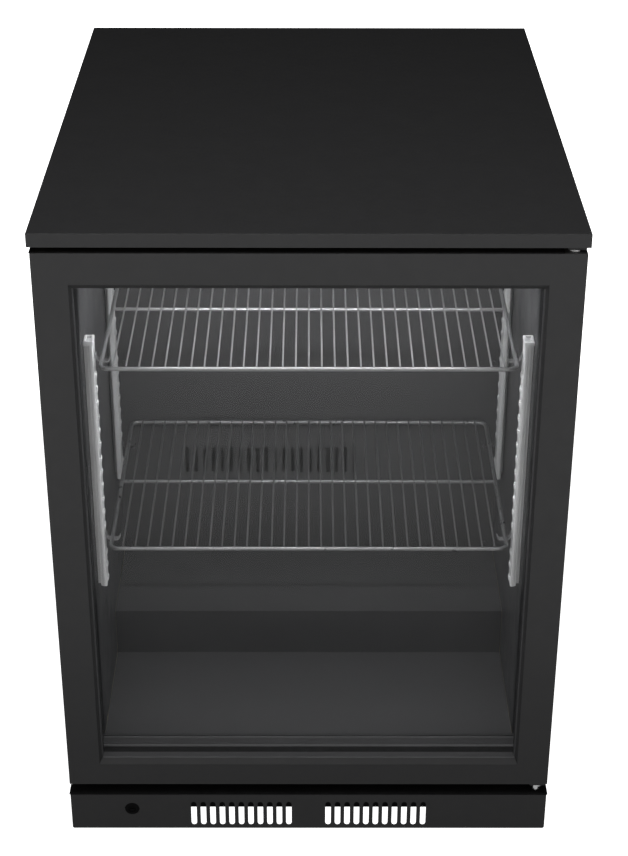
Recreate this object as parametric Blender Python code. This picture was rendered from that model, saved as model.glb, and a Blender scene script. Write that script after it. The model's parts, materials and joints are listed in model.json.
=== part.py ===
"""Undercounter refrigerator with one hinged glass door, as separate named pieces.

Metres, +Z up. The origin is on the floor, in the middle of the footprint. The door faces -Y.
Depths are measured back from the front plane of the worktop and door, and at() turns one into a Y.
Touching pieces keep GAP between them.
"""
import math

import bmesh
import bpy
from mathutils import Matrix, Vector

for old in list(bpy.data.objects):
    bpy.data.objects.remove(old, do_unlink=True)

# Overall size
WIDTH = 0.600
DEPTH = 0.730
HEIGHT = 0.810
GAP = 0.0003

# Worktop: a folded steel tray over a board
WORKTOP_T = 0.016
COVER_T = 0.0012
BOARD_T = 0.012
EDGE_ROUND = 0.0012

# Cabinet body
BODY_HALF = 0.297
SKIN_T = 0.0010
CABINET_FRONT = 0.058
CABINET_BACK = 0.715
CABINET_TOP = 0.796
BASE_TOP = 0.0515
BASE_T = 0.0015
SIDE_FOOT_CLEAR = 0.004

# Storage compartment
LINER_T = 0.0008
INNER_HALF = 0.259
FLOOR_Z = 0.090
STEP_Z = 0.157
STEP_DEPTH = 0.2525
CEILING_Z = 0.7525
LINER_BACK = 0.4992
COVER_DEPTH = 0.400
BREAKER_T = 0.017

# Insulation and the machine space behind and under it
FOAM_BACK = 0.5347
HUMP_DEPTH = 0.2849
HUMP_Z = 0.120

# Door
DOOR_T = 0.052
DOOR_LOW = 0.070
DOOR_HIGH = 0.787
DOOR_SKIN_T = 0.0012
FACE_HALF = 0.258
FACE_LOW = 0.1015
FACE_HIGH = 0.7506
CHAMFER_IN = 0.006
CHAMFER_SIDE = 0.003
CHAMFER_DEEP = 0.005
REVEAL_DEEP = 0.016
PANE_FRONT = 0.027
PANE_T = 0.004
PANE_SPACE = 0.012
PANE_HIDDEN = 0.010
SPACER_SHOW = 0.0014
SPACER_SIDE = 0.0021
SIGHT_SIDE = 0.004
SEAL_W = 0.015

# Hinge line
HINGE_X = 0.284
HINGE_DEPTH = 0.012
PIN_R = 0.004

# Plinth, its two vent groups and the cam lock
PLINTH_HIGH = 0.053
PLINTH_T = 0.0012
PLINTH_DEEP = 0.057
VENT_COUNT = 11
VENT_FIRST = 0.0246
VENT_PITCH = 0.0119
VENT_W = 0.007
VENT_LOW = 0.005
VENT_HIGH = 0.042
LOCK_X = -0.2208
LOCK_Z = 0.0312
LOCK_R = 0.0089
CAM_LENGTH = 0.045
CAM_W = 0.012
CAM_DEPTH = 0.024
CAM_T = 0.002

# Shelves, their posts and clips
SHELF_Z = {"top": 0.6105, "lower": 0.368}
SHELF_HALF = 0.2385
SHELF_FRONT = 0.076
SHELF_MIDDLE = 0.2355
SHELF_BACK = 0.393
SHELF_CORNER = 0.010
RAIL_R = 0.0025
CROSS_R = 0.002
WIRE_R = 0.001
WIRE_COUNT = 31
POST_LOW = {"front": 0.2965, "rear": 0.322}
POST_HIGH = 0.6395
POST_OUT = 0.0116
POST_DEEP = 0.020
POST_T = 0.0012
POST_DEPTHS = {"front": 0.105, "rear": 0.330}
TOOTH_FIRST = 0.309
TOOTH_PITCH = 0.0186
TOOTH_COUNT = 17
TOOTH_OUT = 0.0019
TOOTH_H = 0.005
TOOTH_W = 0.008
CLIP_T = 0.0013
CLIP_W = 0.008

# Return-air slots and fan opening in the evaporator cover
SLOT_COUNT = 20
SLOT_FIRST = -0.166
SLOT_PITCH = 0.012
SLOT_W = 0.005
SLOT_LOW = 0.286
SLOT_HIGH = 0.326
COOL_FAN_Z = 0.662
COOL_FAN_R = 0.062

# Machine compartment at the back
HEAT_FAN_X = -0.160
HEAT_FAN_Z = 0.160
HEAT_FAN_R = 0.078
GRILLE_DEPTH = 0.7153
GRILLE_T = 0.001

FRONT = -DEPTH / 2


def at(depth):
    """The Y of a depth behind the front plane."""
    return FRONT + depth


def paint(name, rgb, roughness, metallic=0.0):
    """A plain Principled material."""
    made = bpy.data.materials.new(name)
    made.use_nodes = True
    shader = made.node_tree.nodes["Principled BSDF"]
    shader.inputs["Base Color"].default_value = (*rgb, 1.0)
    shader.inputs["Roughness"].default_value = roughness
    shader.inputs["Metallic"].default_value = metallic
    return made


POWDER = paint("black_powder_coat", (0.022, 0.022, 0.024), 0.55)
LINER = paint("dark_liner_paint", (0.050, 0.050, 0.053), 0.50)
PLASTIC = paint("black_plastic", (0.020, 0.020, 0.021), 0.60)
RUBBER = paint("black_rubber", (0.010, 0.010, 0.010), 0.80)
FOAM = paint("insulation_foam", (0.78, 0.70, 0.45), 0.90)
BOARD = paint("worktop_board", (0.48, 0.35, 0.22), 0.85)
ZINC = paint("bright_zinc", (0.72, 0.73, 0.74), 0.30, 1.0)
CHROME = paint("chrome_wire", (0.80, 0.81, 0.82), 0.15, 1.0)
GALVANISED = paint("galvanised_sheet", (0.48, 0.49, 0.50), 0.45, 1.0)
FINS = paint("aluminium_fins", (0.75, 0.76, 0.78), 0.35, 1.0)
GLASS = paint("glass", (0.60, 0.66, 0.65), 0.05)
DIFFUSER = paint("light_diffuser", (0.90, 0.91, 0.93), 0.40)
ENAMEL = paint("compressor_enamel", (0.015, 0.015, 0.016), 0.35)


def link(name, bm, look, smooth=False):
    """Turn a bmesh into a named object with one material."""
    bmesh.ops.recalc_face_normals(bm, faces=bm.faces)
    mesh = bpy.data.meshes.new(name)
    bm.to_mesh(mesh)
    bm.free()
    if smooth:
        mesh.shade_smooth()
        mesh.set_sharp_from_angle(angle=math.radians(35))
    mesh.materials.append(look)
    made = bpy.data.objects.new(name, mesh)
    bpy.context.scene.collection.objects.link(made)
    return made


def guide(made):
    """Mark an object as a cutter or a tool, not a piece of the refrigerator."""
    made.hide_render = True
    made.display_type = "WIRE"
    return made


def combine(target, tool, operation):
    """Add a Boolean with a guide object to a piece."""
    step = target.modifiers.new(operation.lower(), "BOOLEAN")
    step.operation = operation
    step.solver = "EXACT"
    step.object = guide(tool)


def add_box(bm, x, depth, z):
    """A box between two X, two depths and two Z; returns its vertices."""
    centre = Vector((sum(x) / 2, at(sum(depth) / 2), sum(z) / 2))
    size = Vector((x[1] - x[0], depth[1] - depth[0], z[1] - z[0]))
    place = Matrix.Translation(centre) @ Matrix.Diagonal((*size, 1.0))
    return bmesh.ops.create_cube(bm, size=1.0, matrix=place)["verts"]


def block(name, x, depth, z, look, rounding=0.0):
    """A plain box piece, with all its edges rounded if asked."""
    bm = bmesh.new()
    add_box(bm, x, depth, z)
    if rounding:
        bmesh.ops.bevel(bm, geom=bm.edges[:], offset=rounding, segments=2, profile=0.5, affect="EDGES")
    return link(name, bm, look)


def add_prism(bm, points, axis, low, high):
    """Extrude an outline: (depth, z) along X, (x, z) along Y, or (x, depth) along Z.

    low and high are a depth where the axis is Y.
    """
    def corner(a, b, level):
        if axis == "X":
            return Vector((level, at(a), b))
        if axis == "Y":
            return Vector((a, at(level), b))
        return Vector((a, at(b), level))

    ring = [bm.verts.new(corner(a, b, low)) for a, b in points]
    face = bm.faces.new(ring)
    grown = bmesh.ops.extrude_face_region(bm, geom=[face])["geom"]
    move = corner(0.0, 0.0, high) - corner(0.0, 0.0, low)
    bmesh.ops.translate(bm, vec=move, verts=[v for v in grown if isinstance(v, bmesh.types.BMVert)])


def prism(name, points, axis, low, high, look, smooth=False):
    """One piece extruded from an outline."""
    bm = bmesh.new()
    add_prism(bm, points, axis, low, high)
    return link(name, bm, look, smooth)


def arc(centre_a, centre_b, radius, start, end, steps):
    """Points on an arc, from start to end in degrees."""
    turn = [math.radians(start + (end - start) * i / steps) for i in range(steps + 1)]
    return [(centre_a + radius * math.cos(t), centre_b + radius * math.sin(t)) for t in turn]


def slot_outline(x, low, high, width, steps=4):
    """An upright slot with round ends, in (x, z)."""
    r = width / 2
    return arc(x, low + r, r, 180, 360, steps) + arc(x, high - r, r, 0, 180, steps)


def circle(x, z, radius, steps=24):
    """A round outline in (x, z)."""
    return arc(x, z, radius, 0, 360 - 360 / steps, steps - 1)


def turned(name, profile, centre, axis, look, steps=24):
    """Spin a profile of (radius, height) points round an axis through centre.

    A profile that starts and ends on the axis makes a solid. Any other is closed into a ring.
    """
    bm = bmesh.new()
    verts = [bm.verts.new((r, 0.0, h)) for r, h in profile]
    edges = [bm.edges.new(pair) for pair in zip(verts, verts[1:])]
    if profile[0][0] > 0 or profile[-1][0] > 0:
        edges.append(bm.edges.new((verts[-1], verts[0])))
    bmesh.ops.spin(bm, geom=verts + edges, cent=(0, 0, 0), axis=(0, 0, 1),
                   angle=math.tau, steps=steps, use_merge=True)
    bmesh.ops.remove_doubles(bm, verts=bm.verts, dist=1e-6)
    if axis == "Y":
        bm.transform(Matrix.Rotation(math.radians(-90), 4, "X"))
    bm.transform(Matrix.Translation(centre))
    return link(name, bm, look, smooth=True)


def frame(name, rings, look, rounding=0.0):
    """A mitred rectangular frame. Its section is a closed loop of (half width, low, high, depth).

    rounding softens the edges at the second ring and the corners running into it.
    """
    bm = bmesh.new()
    loops = [[bm.verts.new((side * half, at(depth), z)) for side, z in
              ((-1, low), (1, low), (1, high), (-1, high))] for half, low, high, depth in rings]
    for near, far in zip(loops, loops[1:] + loops[:1]):
        for i in range(4):
            j = (i + 1) % 4
            bm.faces.new((near[i], near[j], far[j], far[i]))
    if rounding:
        ends = set(loops[0] + loops[1])
        soft = [e for e in bm.edges if ends.issuperset(e.verts) and not set(loops[0]).issuperset(e.verts)]
        bmesh.ops.bevel(bm, geom=soft, offset=rounding, segments=2, profile=0.5, affect="EDGES")
    return link(name, bm, look)


def grow(rect, amount):
    """A rectangle (half width, low, high) made larger on every side."""
    half, low, high = rect
    return half + amount, low - amount, high + amount


def strip(path, thickness):
    """The outline of a thin sheet bent along a path of (a, b) points."""
    points = [Vector(p) for p in path]
    near, far = [], []
    for i, p in enumerate(points):
        before = (p - points[i - 1]).normalized() if i else None
        after = (points[i + 1] - p).normalized() if i + 1 < len(points) else None
        before, after = before or after, after or before
        normals = [Vector((-v.y, v.x)) for v in (before, after)]
        mitre = (normals[0] + normals[1]).normalized()
        reach = thickness / 2 / mitre.dot(normals[0])
        near.append(tuple(p + mitre * reach))
        far.append(tuple(p - mitre * reach))
    return near + far[::-1]


def add_tube(bm, path, radius, sides, closed=False):
    """Sweep a round section along a level path of (x, depth, z) points."""
    points = [Vector((x, at(depth), z)) for x, depth, z in path]
    count = len(points)
    rings = []
    for i, p in enumerate(points):
        before = points[i - 1] if closed or i else p
        after = points[(i + 1) % count] if closed or i + 1 < count else p
        along = (after - before).normalized()
        across = along.cross(Vector((0, 0, 1)))
        turns = [math.tau * (k + 0.5) / sides for k in range(sides)]
        rings.append([bm.verts.new(p + radius * (math.cos(t) * across + math.sin(t) * Vector((0, 0, 1))))
                      for t in turns])
    for i in range(count if closed else count - 1):
        near, far = rings[i], rings[(i + 1) % count]
        for k in range(sides):
            j = (k + 1) % sides
            bm.faces.new((near[k], near[j], far[j], far[k]))
    if not closed:
        bm.faces.new(rings[0])
        bm.faces.new(rings[-1][::-1])


def joint_empty(name, x, depth, z):
    """An empty on a joint's axis."""
    made = bpy.data.objects.new(name, None)
    made.location = (x, at(depth), z)
    bpy.context.scene.collection.objects.link(made)
    return made


def carry(empty, *pieces):
    """Parent pieces to an empty and leave them where they are."""
    for piece in pieces:
        piece.parent = empty
        piece.matrix_parent_inverse = Matrix.Translation(-empty.location)


def make_worktop():
    """Folded steel cover, open underneath, and the board inside it."""
    half = WIDTH / 2
    low = HEIGHT - WORKTOP_T
    bm = bmesh.new()
    add_box(bm, (-half, half), (0, DEPTH), (low, HEIGHT))
    under = min(bm.faces, key=lambda f: f.calc_center_median().z)
    outer = [e for e in bm.edges if e not in under.edges]
    bmesh.ops.inset_region(bm, faces=[under], thickness=COVER_T)
    grown = bmesh.ops.extrude_face_region(bm, geom=[under])["geom"]
    bmesh.ops.translate(bm, vec=(0, 0, WORKTOP_T - COVER_T),
                        verts=[v for v in grown if isinstance(v, bmesh.types.BMVert)])
    bmesh.ops.delete(bm, geom=[under], context="FACES_ONLY")
    bmesh.ops.bevel(bm, geom=outer, offset=EDGE_ROUND, segments=2, profile=0.5, affect="EDGES")
    link("worktop_cover", bm, POWDER)
    inset = COVER_T + GAP
    top = HEIGHT - COVER_T - GAP
    block("worktop_board", (-half + inset, half - inset), (inset, DEPTH - inset), (top - BOARD_T, top), BOARD)


def make_side_panel(name, side):
    """Outer side skin with a narrow flange turned in at the back."""
    outer = side * BODY_HALF
    inner = side * (BODY_HALF - SKIN_T)
    lip = side * (BODY_HALF - 0.017)
    back = CABINET_BACK
    outline = [(outer, CABINET_FRONT), (outer, back), (lip, back), (lip, back - SKIN_T),
               (inner, back - SKIN_T), (inner, CABINET_FRONT)]
    prism(name, outline, "Z", SIDE_FOOT_CLEAR, CABINET_TOP, POWDER)


def make_base():
    """Base plate with a front tongue that folds down behind the plinth vents, and four feet."""
    half = BODY_HALF - SKIN_T - GAP
    tongue = 0.190
    low = BASE_TOP - BASE_T
    bm = bmesh.new()
    outline = [(-half, CABINET_FRONT), (-tongue, CABINET_FRONT), (-tongue, 0.0035), (tongue, 0.0035),
               (tongue, CABINET_FRONT), (half, CABINET_FRONT), (half, 0.7135), (-half, 0.7135)]
    add_prism(bm, outline, "Z", low, BASE_TOP)
    plate = link("base_plate", bm, GALVANISED)
    lip = block("base_lip", (-tongue, tongue), (0.0035, 0.0050), (0.0312, low + 0.0005), GALVANISED)
    combine(plate, lip, "UNION")
    bm = bmesh.new()
    add_box(bm, (-0.230, 0.230), (0.310, 0.500), (low - 0.01, BASE_TOP + 0.01))
    combine(plate, link("base_air_opening", bm, GALVANISED), "DIFFERENCE")
    foot = [(0, 0), (0.019, 0), (0.020, 0.001), (0.020, 0.009), (0.007, 0.012), (0.007, low - GAP),
            (0, low - GAP)]
    for place, depth in (("front", 0.100), ("rear", 0.670)):
        for name, side in (("left", -1), ("right", 1)):
            turned(f"foot_{place}_{name}", foot, (side * 0.250, at(depth), 0), "Z", RUBBER)


def make_insulation():
    """Foamed walls and top in one, a slab behind, and a stepped floor with a hump over the machine space."""
    half = BODY_HALF - SKIN_T - GAP
    front = CABINET_FRONT + BREAKER_T + GAP
    low = BASE_TOP + GAP
    sheet = LINER_T + GAP
    reach = INNER_HALF + sheet
    roof = CEILING_Z + sheet
    arch = [(-half, low), (-reach, low), (-reach, roof), (reach, roof), (reach, low), (half, low),
            (half, CABINET_TOP), (-half, CABINET_TOP)]
    walls = prism("insulation_walls", arch, "Y", front, FOAM_BACK, FOAM)
    bm = bmesh.new()
    add_box(bm, (-half - 0.01, half + 0.01), (HUMP_DEPTH, FOAM_BACK + 0.01), (low - 0.01, HUMP_Z))
    combine(walls, link("insulation_hump", bm, FOAM), "DIFFERENCE")
    step = STEP_DEPTH + sheet
    shelf = STEP_Z - sheet
    floor = [(front, low), (front, FLOOR_Z - sheet), (step, FLOOR_Z - sheet), (step, shelf),
             (FOAM_BACK, shelf), (FOAM_BACK, HUMP_Z), (HUMP_DEPTH, HUMP_Z), (HUMP_DEPTH, low)]
    prism("insulation_floor", floor, "X", GAP - reach, reach - GAP, FOAM)
    block("insulation_back", (GAP - reach, reach - GAP), (LINER_BACK + sheet, FOAM_BACK),
          (shelf + GAP, roof - GAP), FOAM)


def make_liner():
    """Inner sheets of the storage compartment: two sides, stepped floor, ceiling and back."""
    front = CABINET_FRONT + BREAKER_T + GAP
    back = LINER_BACK + LINER_T
    step = STEP_DEPTH + LINER_T
    side = [(front, FLOOR_Z - LINER_T), (step, FLOOR_Z - LINER_T), (step, STEP_Z - LINER_T),
            (back, STEP_Z - LINER_T), (back, CEILING_Z + LINER_T), (front, CEILING_Z + LINER_T)]
    prism("liner_left", side, "X", -INNER_HALF - LINER_T, -INNER_HALF, LINER)
    prism("liner_right", side, "X", INNER_HALF, INNER_HALF + LINER_T, LINER)
    half = INNER_HALF - GAP
    floor = [(front, FLOOR_Z), (STEP_DEPTH, FLOOR_Z), (STEP_DEPTH, STEP_Z), (back, STEP_Z),
             (back, STEP_Z - LINER_T), (step, STEP_Z - LINER_T), (step, FLOOR_Z - LINER_T),
             (front, FLOOR_Z - LINER_T)]
    prism("liner_floor", floor, "X", -half, half, LINER)
    block("liner_ceiling", (-half, half), (front, back), (CEILING_Z, CEILING_Z + LINER_T), LINER)
    block("liner_back", (-half, half), (LINER_BACK, back), (STEP_Z + GAP, CEILING_Z - GAP), LINER)


def make_breaker_frame():
    """Plastic frame round the mouth of the cabinet, where the door seal lands."""
    outer = (BODY_HALF - SKIN_T - GAP, BASE_TOP + GAP, CABINET_TOP)
    inner = (INNER_HALF, FLOOR_Z, CEILING_Z)
    near, far = CABINET_FRONT, CABINET_FRONT + BREAKER_T
    frame("breaker_frame", [(*outer, near), (*inner, near), (*inner, far), (*outer, far)], PLASTIC)


def make_partition():
    """Bent sheet behind the insulation, which also roofs the space under the step."""
    half = BODY_HALF - SKIN_T - GAP
    low = BASE_TOP + GAP
    front = HUMP_DEPTH + GAP
    top = HUMP_Z - GAP
    back = FOAM_BACK + GAP
    t = LINER_T
    outline = [(front, low), (front, top), (back, top), (back, CABINET_TOP), (back + t, CABINET_TOP),
               (back + t, top - t), (front + t, top - t), (front + t, low)]
    prism("partition_panel", outline, "X", -half, half, GALVANISED)


def make_plinth():
    """Folded plinth: face, top flange and two returns, with vents, lock hole and a slot for the cam."""
    bm = bmesh.new()
    add_box(bm, (-BODY_HALF, BODY_HALF), (0, PLINTH_DEEP), (0, PLINTH_HIGH))
    feet = [e for e in bm.edges
            if all(v.co.z < 0.001 for v in e.verts) and abs(e.verts[0].co.y - e.verts[1].co.y) > 0.01]
    bmesh.ops.bevel(bm, geom=feet, offset=0.0025, segments=3, profile=0.5, affect="EDGES")
    plinth = link("plinth", bm, POWDER)
    inner = BODY_HALF - PLINTH_T
    bm = bmesh.new()
    add_box(bm, (-inner, inner), (PLINTH_T, PLINTH_DEEP + 0.01), (-0.01, PLINTH_HIGH - PLINTH_T))
    combine(plinth, link("plinth_hollow", bm, POWDER), "DIFFERENCE")
    bm = bmesh.new()
    for side in (-1, 1):
        for i in range(VENT_COUNT):
            x = side * (VENT_FIRST + VENT_PITCH * i)
            add_prism(bm, slot_outline(x, VENT_LOW, VENT_HIGH, VENT_W), "Y", -0.005, 0.005)
    add_prism(bm, circle(LOCK_X, LOCK_Z, LOCK_R + GAP), "Y", -0.005, 0.005)
    add_box(bm, (LOCK_X - CAM_LENGTH - 0.002, LOCK_X + CAM_W / 2 + 0.002),
            (CAM_DEPTH - 0.0015, CAM_DEPTH + CAM_T + 0.0015), (PLINTH_HIGH - 0.01, PLINTH_HIGH + 0.01))
    combine(plinth, link("plinth_openings", bm, POWDER), "DIFFERENCE")


def make_lock():
    """Cam lock in the plinth: fixed barrel with its nut, and the plug with its cam."""
    barrel = [(0.0056, 0.0), (LOCK_R, 0.0), (LOCK_R, PLINTH_T + GAP), (0.0125, PLINTH_T + GAP),
              (0.0125, 0.0050), (LOCK_R, 0.0050), (LOCK_R, 0.0200), (0.0056, 0.0200)]
    turned("lock_barrel", barrel, (LOCK_X, FRONT, LOCK_Z), "Y", ENAMEL)
    plug = turned("lock_plug", [(0, 0.0008), (0.0053, 0.0008), (0.0053, CAM_DEPTH + 0.001),
                                (0, CAM_DEPTH + 0.001)], (LOCK_X, FRONT, LOCK_Z), "Y", ENAMEL)
    r = CAM_W / 2
    reach = CAM_LENGTH - r
    blade = arc(LOCK_X - reach, LOCK_Z, r, 90, 270, 8) + arc(LOCK_X, LOCK_Z, r, -90, 90, 8)
    cam = prism("lock_cam_blade", blade, "Y", CAM_DEPTH, CAM_DEPTH + CAM_T, ENAMEL)
    combine(plug, cam, "UNION")
    bm = bmesh.new()
    add_box(bm, (LOCK_X - 0.0036, LOCK_X + 0.0036), (-0.001, 0.0040), (LOCK_Z - 0.0007, LOCK_Z + 0.0007))
    combine(plug, link("lock_keyway", bm, ENAMEL), "DIFFERENCE")
    carry(joint_empty("lock_axis", LOCK_X, 0.0, LOCK_Z), plug)


def make_hinge(name, arm_low, arm_high, leg_end, pin_profile):
    """L bracket on the cabinet's face and its pin."""
    leg_front, leg_back = 0.0552, CABINET_FRONT - GAP
    x = (0.276, BODY_HALF - SKIN_T - GAP)
    bracket = block(f"hinge_bracket_{name}", x, (0.005, leg_back), (arm_low, arm_high), POWDER)
    leg = block(f"hinge_leg_{name}", x, (leg_front, leg_back), sorted((arm_low + 0.001, leg_end)), POWDER)
    combine(bracket, leg, "UNION")
    combine(bracket, hinge_bore(f"hinge_hole_{name}", arm_low, PIN_R + GAP), "DIFFERENCE")
    turned(f"hinge_pin_{name}", pin_profile, (HINGE_X, at(HINGE_DEPTH), 0), "Z", CHROME)


def hinge_bore(name, z, radius):
    """Upright cylinder on the hinge line, used to cut holes."""
    bm = bmesh.new()
    bmesh.ops.create_cone(bm, cap_ends=True, segments=24, radius1=radius, radius2=radius, depth=0.04,
                          matrix=Matrix.Translation((HINGE_X, at(HINGE_DEPTH), z)))
    return link(name, bm, POWDER)


def make_hinges():
    """Top and bottom hinges on one upright line near the door's right edge."""
    tip = PIN_R - 0.0005
    top_pin = [(0, 0.770), (tip, 0.770), (PIN_R, 0.7705), (PIN_R, 0.7873), (0.0060, 0.7873),
               (0.0060, 0.7892), (PIN_R, 0.7892), (PIN_R, 0.7928), (0.0065, 0.7928), (0.0065, 0.7955),
               (0, 0.7955)]
    low_pin = [(0, 0.0570), (0.0065, 0.0570), (0.0065, 0.0642), (PIN_R, 0.0642), (PIN_R, 0.0885),
               (tip, 0.089), (0, 0.089)]
    make_hinge("top", 0.7895, 0.7925, 0.745, top_pin)
    make_hinge("bottom", 0.0645, 0.0670, 0.110, low_pin)


def opening():
    """The clear opening inside the bevel. The bevel is narrower at the sides than above and below."""
    return FACE_HALF - CHAMFER_SIDE, FACE_LOW + CHAMFER_IN, FACE_HIGH - CHAMFER_IN


def make_door_skin():
    """Steel front of the door, open at the back, with holes for the bushes and a keeper slot."""
    outer = (BODY_HALF, DOOR_LOW, DOOR_HIGH)
    face = (FACE_HALF, FACE_LOW, FACE_HIGH)
    reveal = opening()
    t = DOOR_SKIN_T
    back = DOOR_T - 0.002
    rings = [(*outer, back), (*outer, 0.0), (*face, 0.0), (*reveal, CHAMFER_DEEP), (*reveal, REVEAL_DEEP),
             (*grow(reveal, t), REVEAL_DEEP), (*grow(reveal, t), CHAMFER_DEEP + 0.0006),
             (*grow(face, 0.0006), t), (*grow(outer, -t), t), (*grow(outer, -t), back)]
    skin = frame("door_skin", rings, POWDER, 0.0008)
    for name, z in (("low", DOOR_LOW), ("high", DOOR_HIGH)):
        combine(skin, hinge_bore(f"door_skin_hole_{name}", z, 0.0052), "DIFFERENCE")
    bm = bmesh.new()
    add_box(bm, (LOCK_X - 0.030, LOCK_X + 0.0085), (CAM_DEPTH - 0.0015, CAM_DEPTH + CAM_T + 0.0015),
            (DOOR_LOW - 0.005, DOOR_LOW + 0.005))
    combine(skin, link("door_keeper_slot", bm, POWDER), "DIFFERENCE")
    return skin


def add_hinge_blocks(inner, x, depth):
    """Solid corners of the door's inner frame, bored for the hinge pins."""
    for name, z in (("low", (DOOR_LOW + 0.0022, 0.0925)), ("high", (0.764, DOOR_HIGH - 0.0022))):
        combine(inner, block(f"hinge_block_{name}", x, depth, z, PLASTIC), "UNION")
        combine(inner, hinge_bore(f"hinge_bearing_{name}", sum(z) / 2, PIN_R + 0.0002), "DIFFERENCE")


def make_door():
    """Door leaf: skin, inner frame, glazing seal, two panes, spacer and magnetic seal."""
    reveal = opening()
    pane = grow(reveal, PANE_HIDDEN)
    skin = make_door_skin()
    edge = grow((BODY_HALF, DOOR_LOW, DOOR_HIGH), -DOOR_SKIN_T - 0.0006)
    plate = DOOR_T - 0.0045
    wall_in = grow(pane, 0.0008)
    wall_out = grow(pane, 0.0028)
    sight = (reveal[0] + SIGHT_SIDE, reveal[1] + 0.002, reveal[2] - 0.002)
    start = REVEAL_DEEP + GAP
    inner = frame("door_inner_frame", [
        (*edge, DOOR_T), (*sight, DOOR_T), (*sight, plate), (*wall_in, plate), (*wall_in, start),
        (*wall_out, start), (*wall_out, plate), (*edge, plate)], PLASTIC)
    add_hinge_blocks(inner, (wall_out[0] - 0.0005, edge[0] - 0.0004), (0.0055, plate + 0.001))
    seal = frame("glazing_seal", [
        (*reveal, start), (*pane, start), (*pane, PANE_FRONT - GAP), (*reveal, PANE_FRONT - GAP)], RUBBER)
    panes = []
    for name, near in (("glass_outer", PANE_FRONT), ("glass_inner", PANE_FRONT + PANE_T + PANE_SPACE)):
        half, low, high = pane
        panes.append(block(name, (-half, half), (near, near + PANE_T), (low, high), GLASS, 0.0006))
    show = (reveal[0] + SPACER_SIDE, reveal[1] + SPACER_SHOW, reveal[2] - SPACER_SHOW)
    hide = grow(reveal, 0.0076)
    near = PANE_FRONT + PANE_T + GAP
    far = near + PANE_SPACE - 2 * GAP
    spacer = frame("spacer_bar", [(*show, near), (*hide, near), (*hide, far), (*show, far)], FINS)
    mouth = (INNER_HALF + 0.001, FLOOR_Z - 0.001, CEILING_Z + 0.001)
    lip = grow(mouth, SEAL_W)
    magnet = frame("door_seal", [
        (*mouth, DOOR_T + GAP), (*lip, DOOR_T + GAP), (*lip, CABINET_FRONT - GAP - 0.0012),
        (*grow(lip, -0.002), CABINET_FRONT - GAP), (*grow(mouth, 0.002), CABINET_FRONT - GAP),
        (*mouth, CABINET_FRONT - GAP - 0.0012)], RUBBER)
    axis = joint_empty("door_axis", HINGE_X, HINGE_DEPTH, (DOOR_LOW + DOOR_HIGH) / 2)
    carry(axis, skin, inner, seal, spacer, magnet, *panes)


def clip_level(shelf_z):
    """Centre height of a clip's arm under a shelf rail."""
    return shelf_z - RAIL_R - GAP - CLIP_T / 2


def make_post(name, side, depth, foot):
    """Shelf post: an upright channel with teeth on its face, left out where a clip hooks in."""
    wall = INNER_HALF - GAP
    face = INNER_HALF - POST_OUT - GAP
    near, far = depth - POST_DEEP / 2, depth + POST_DEEP / 2
    t = POST_T
    section = [(wall, near), (face, near), (face, far), (wall, far), (wall, far - t), (face + t, far - t),
               (face + t, near + t), (wall, near + t)]
    post = prism(name, [(side * x, d) for x, d in section], "Z", foot, POST_HIGH, ZINC)
    anchors = [clip_level(z) + 0.006 for z in SHELF_Z.values()]
    bm = bmesh.new()
    for i in range(TOOTH_COUNT):
        z = TOOTH_FIRST + TOOTH_PITCH * i
        if z < foot + TOOTH_H or min(abs(z - a) for a in anchors) < 0.009:
            continue
        h = TOOTH_H / 2
        tooth = [(face + t / 2, z - h), (face, z - h), (face - TOOTH_OUT, z - h / 3),
                 (face - TOOTH_OUT, z + h / 3), (face, z + h), (face + t / 2, z + h)]
        add_prism(bm, [(side * x, b) for x, b in tooth], "Y", depth - TOOTH_W / 2, depth + TOOTH_W / 2)
    combine(post, link(f"{name}_teeth", bm, ZINC), "UNION")
    head = (face + t / 2, wall - 0.0004)
    cap = block(f"{name}_head", sorted(side * x for x in head), (near + 0.0004, far - 0.0004),
                (POST_HIGH - 0.010, POST_HIGH - 0.0004), ZINC)
    combine(post, cap, "UNION")


def make_clip(name, side, depth, shelf_z):
    """Sprung clip that hooks on a post and carries a shelf rail in its crook."""
    face = INNER_HALF - POST_OUT - GAP
    level = clip_level(shelf_z)
    path = [(0.0010, 0.0100), (0.0010, 0.0045), (0.0045, 0.0010), (0.0075, 0.0), (0.0163, 0.0),
            (0.0185, 0.0050)]
    outline = strip([(side * (face - a), level + b) for a, b in path], CLIP_T)
    prism(name, outline, "Y", depth - CLIP_W / 2, depth + CLIP_W / 2, ZINC)


def rounded_loop(half, front, back, r, steps=5):
    """Level loop of (x, depth) points with round corners."""
    return (arc(-half + r, front + r, r, 180, 270, steps) + arc(half - r, front + r, r, 270, 360, steps)
            + arc(half - r, back - r, r, 0, 90, steps) + arc(-half + r, back - r, r, 90, 180, steps))


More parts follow.
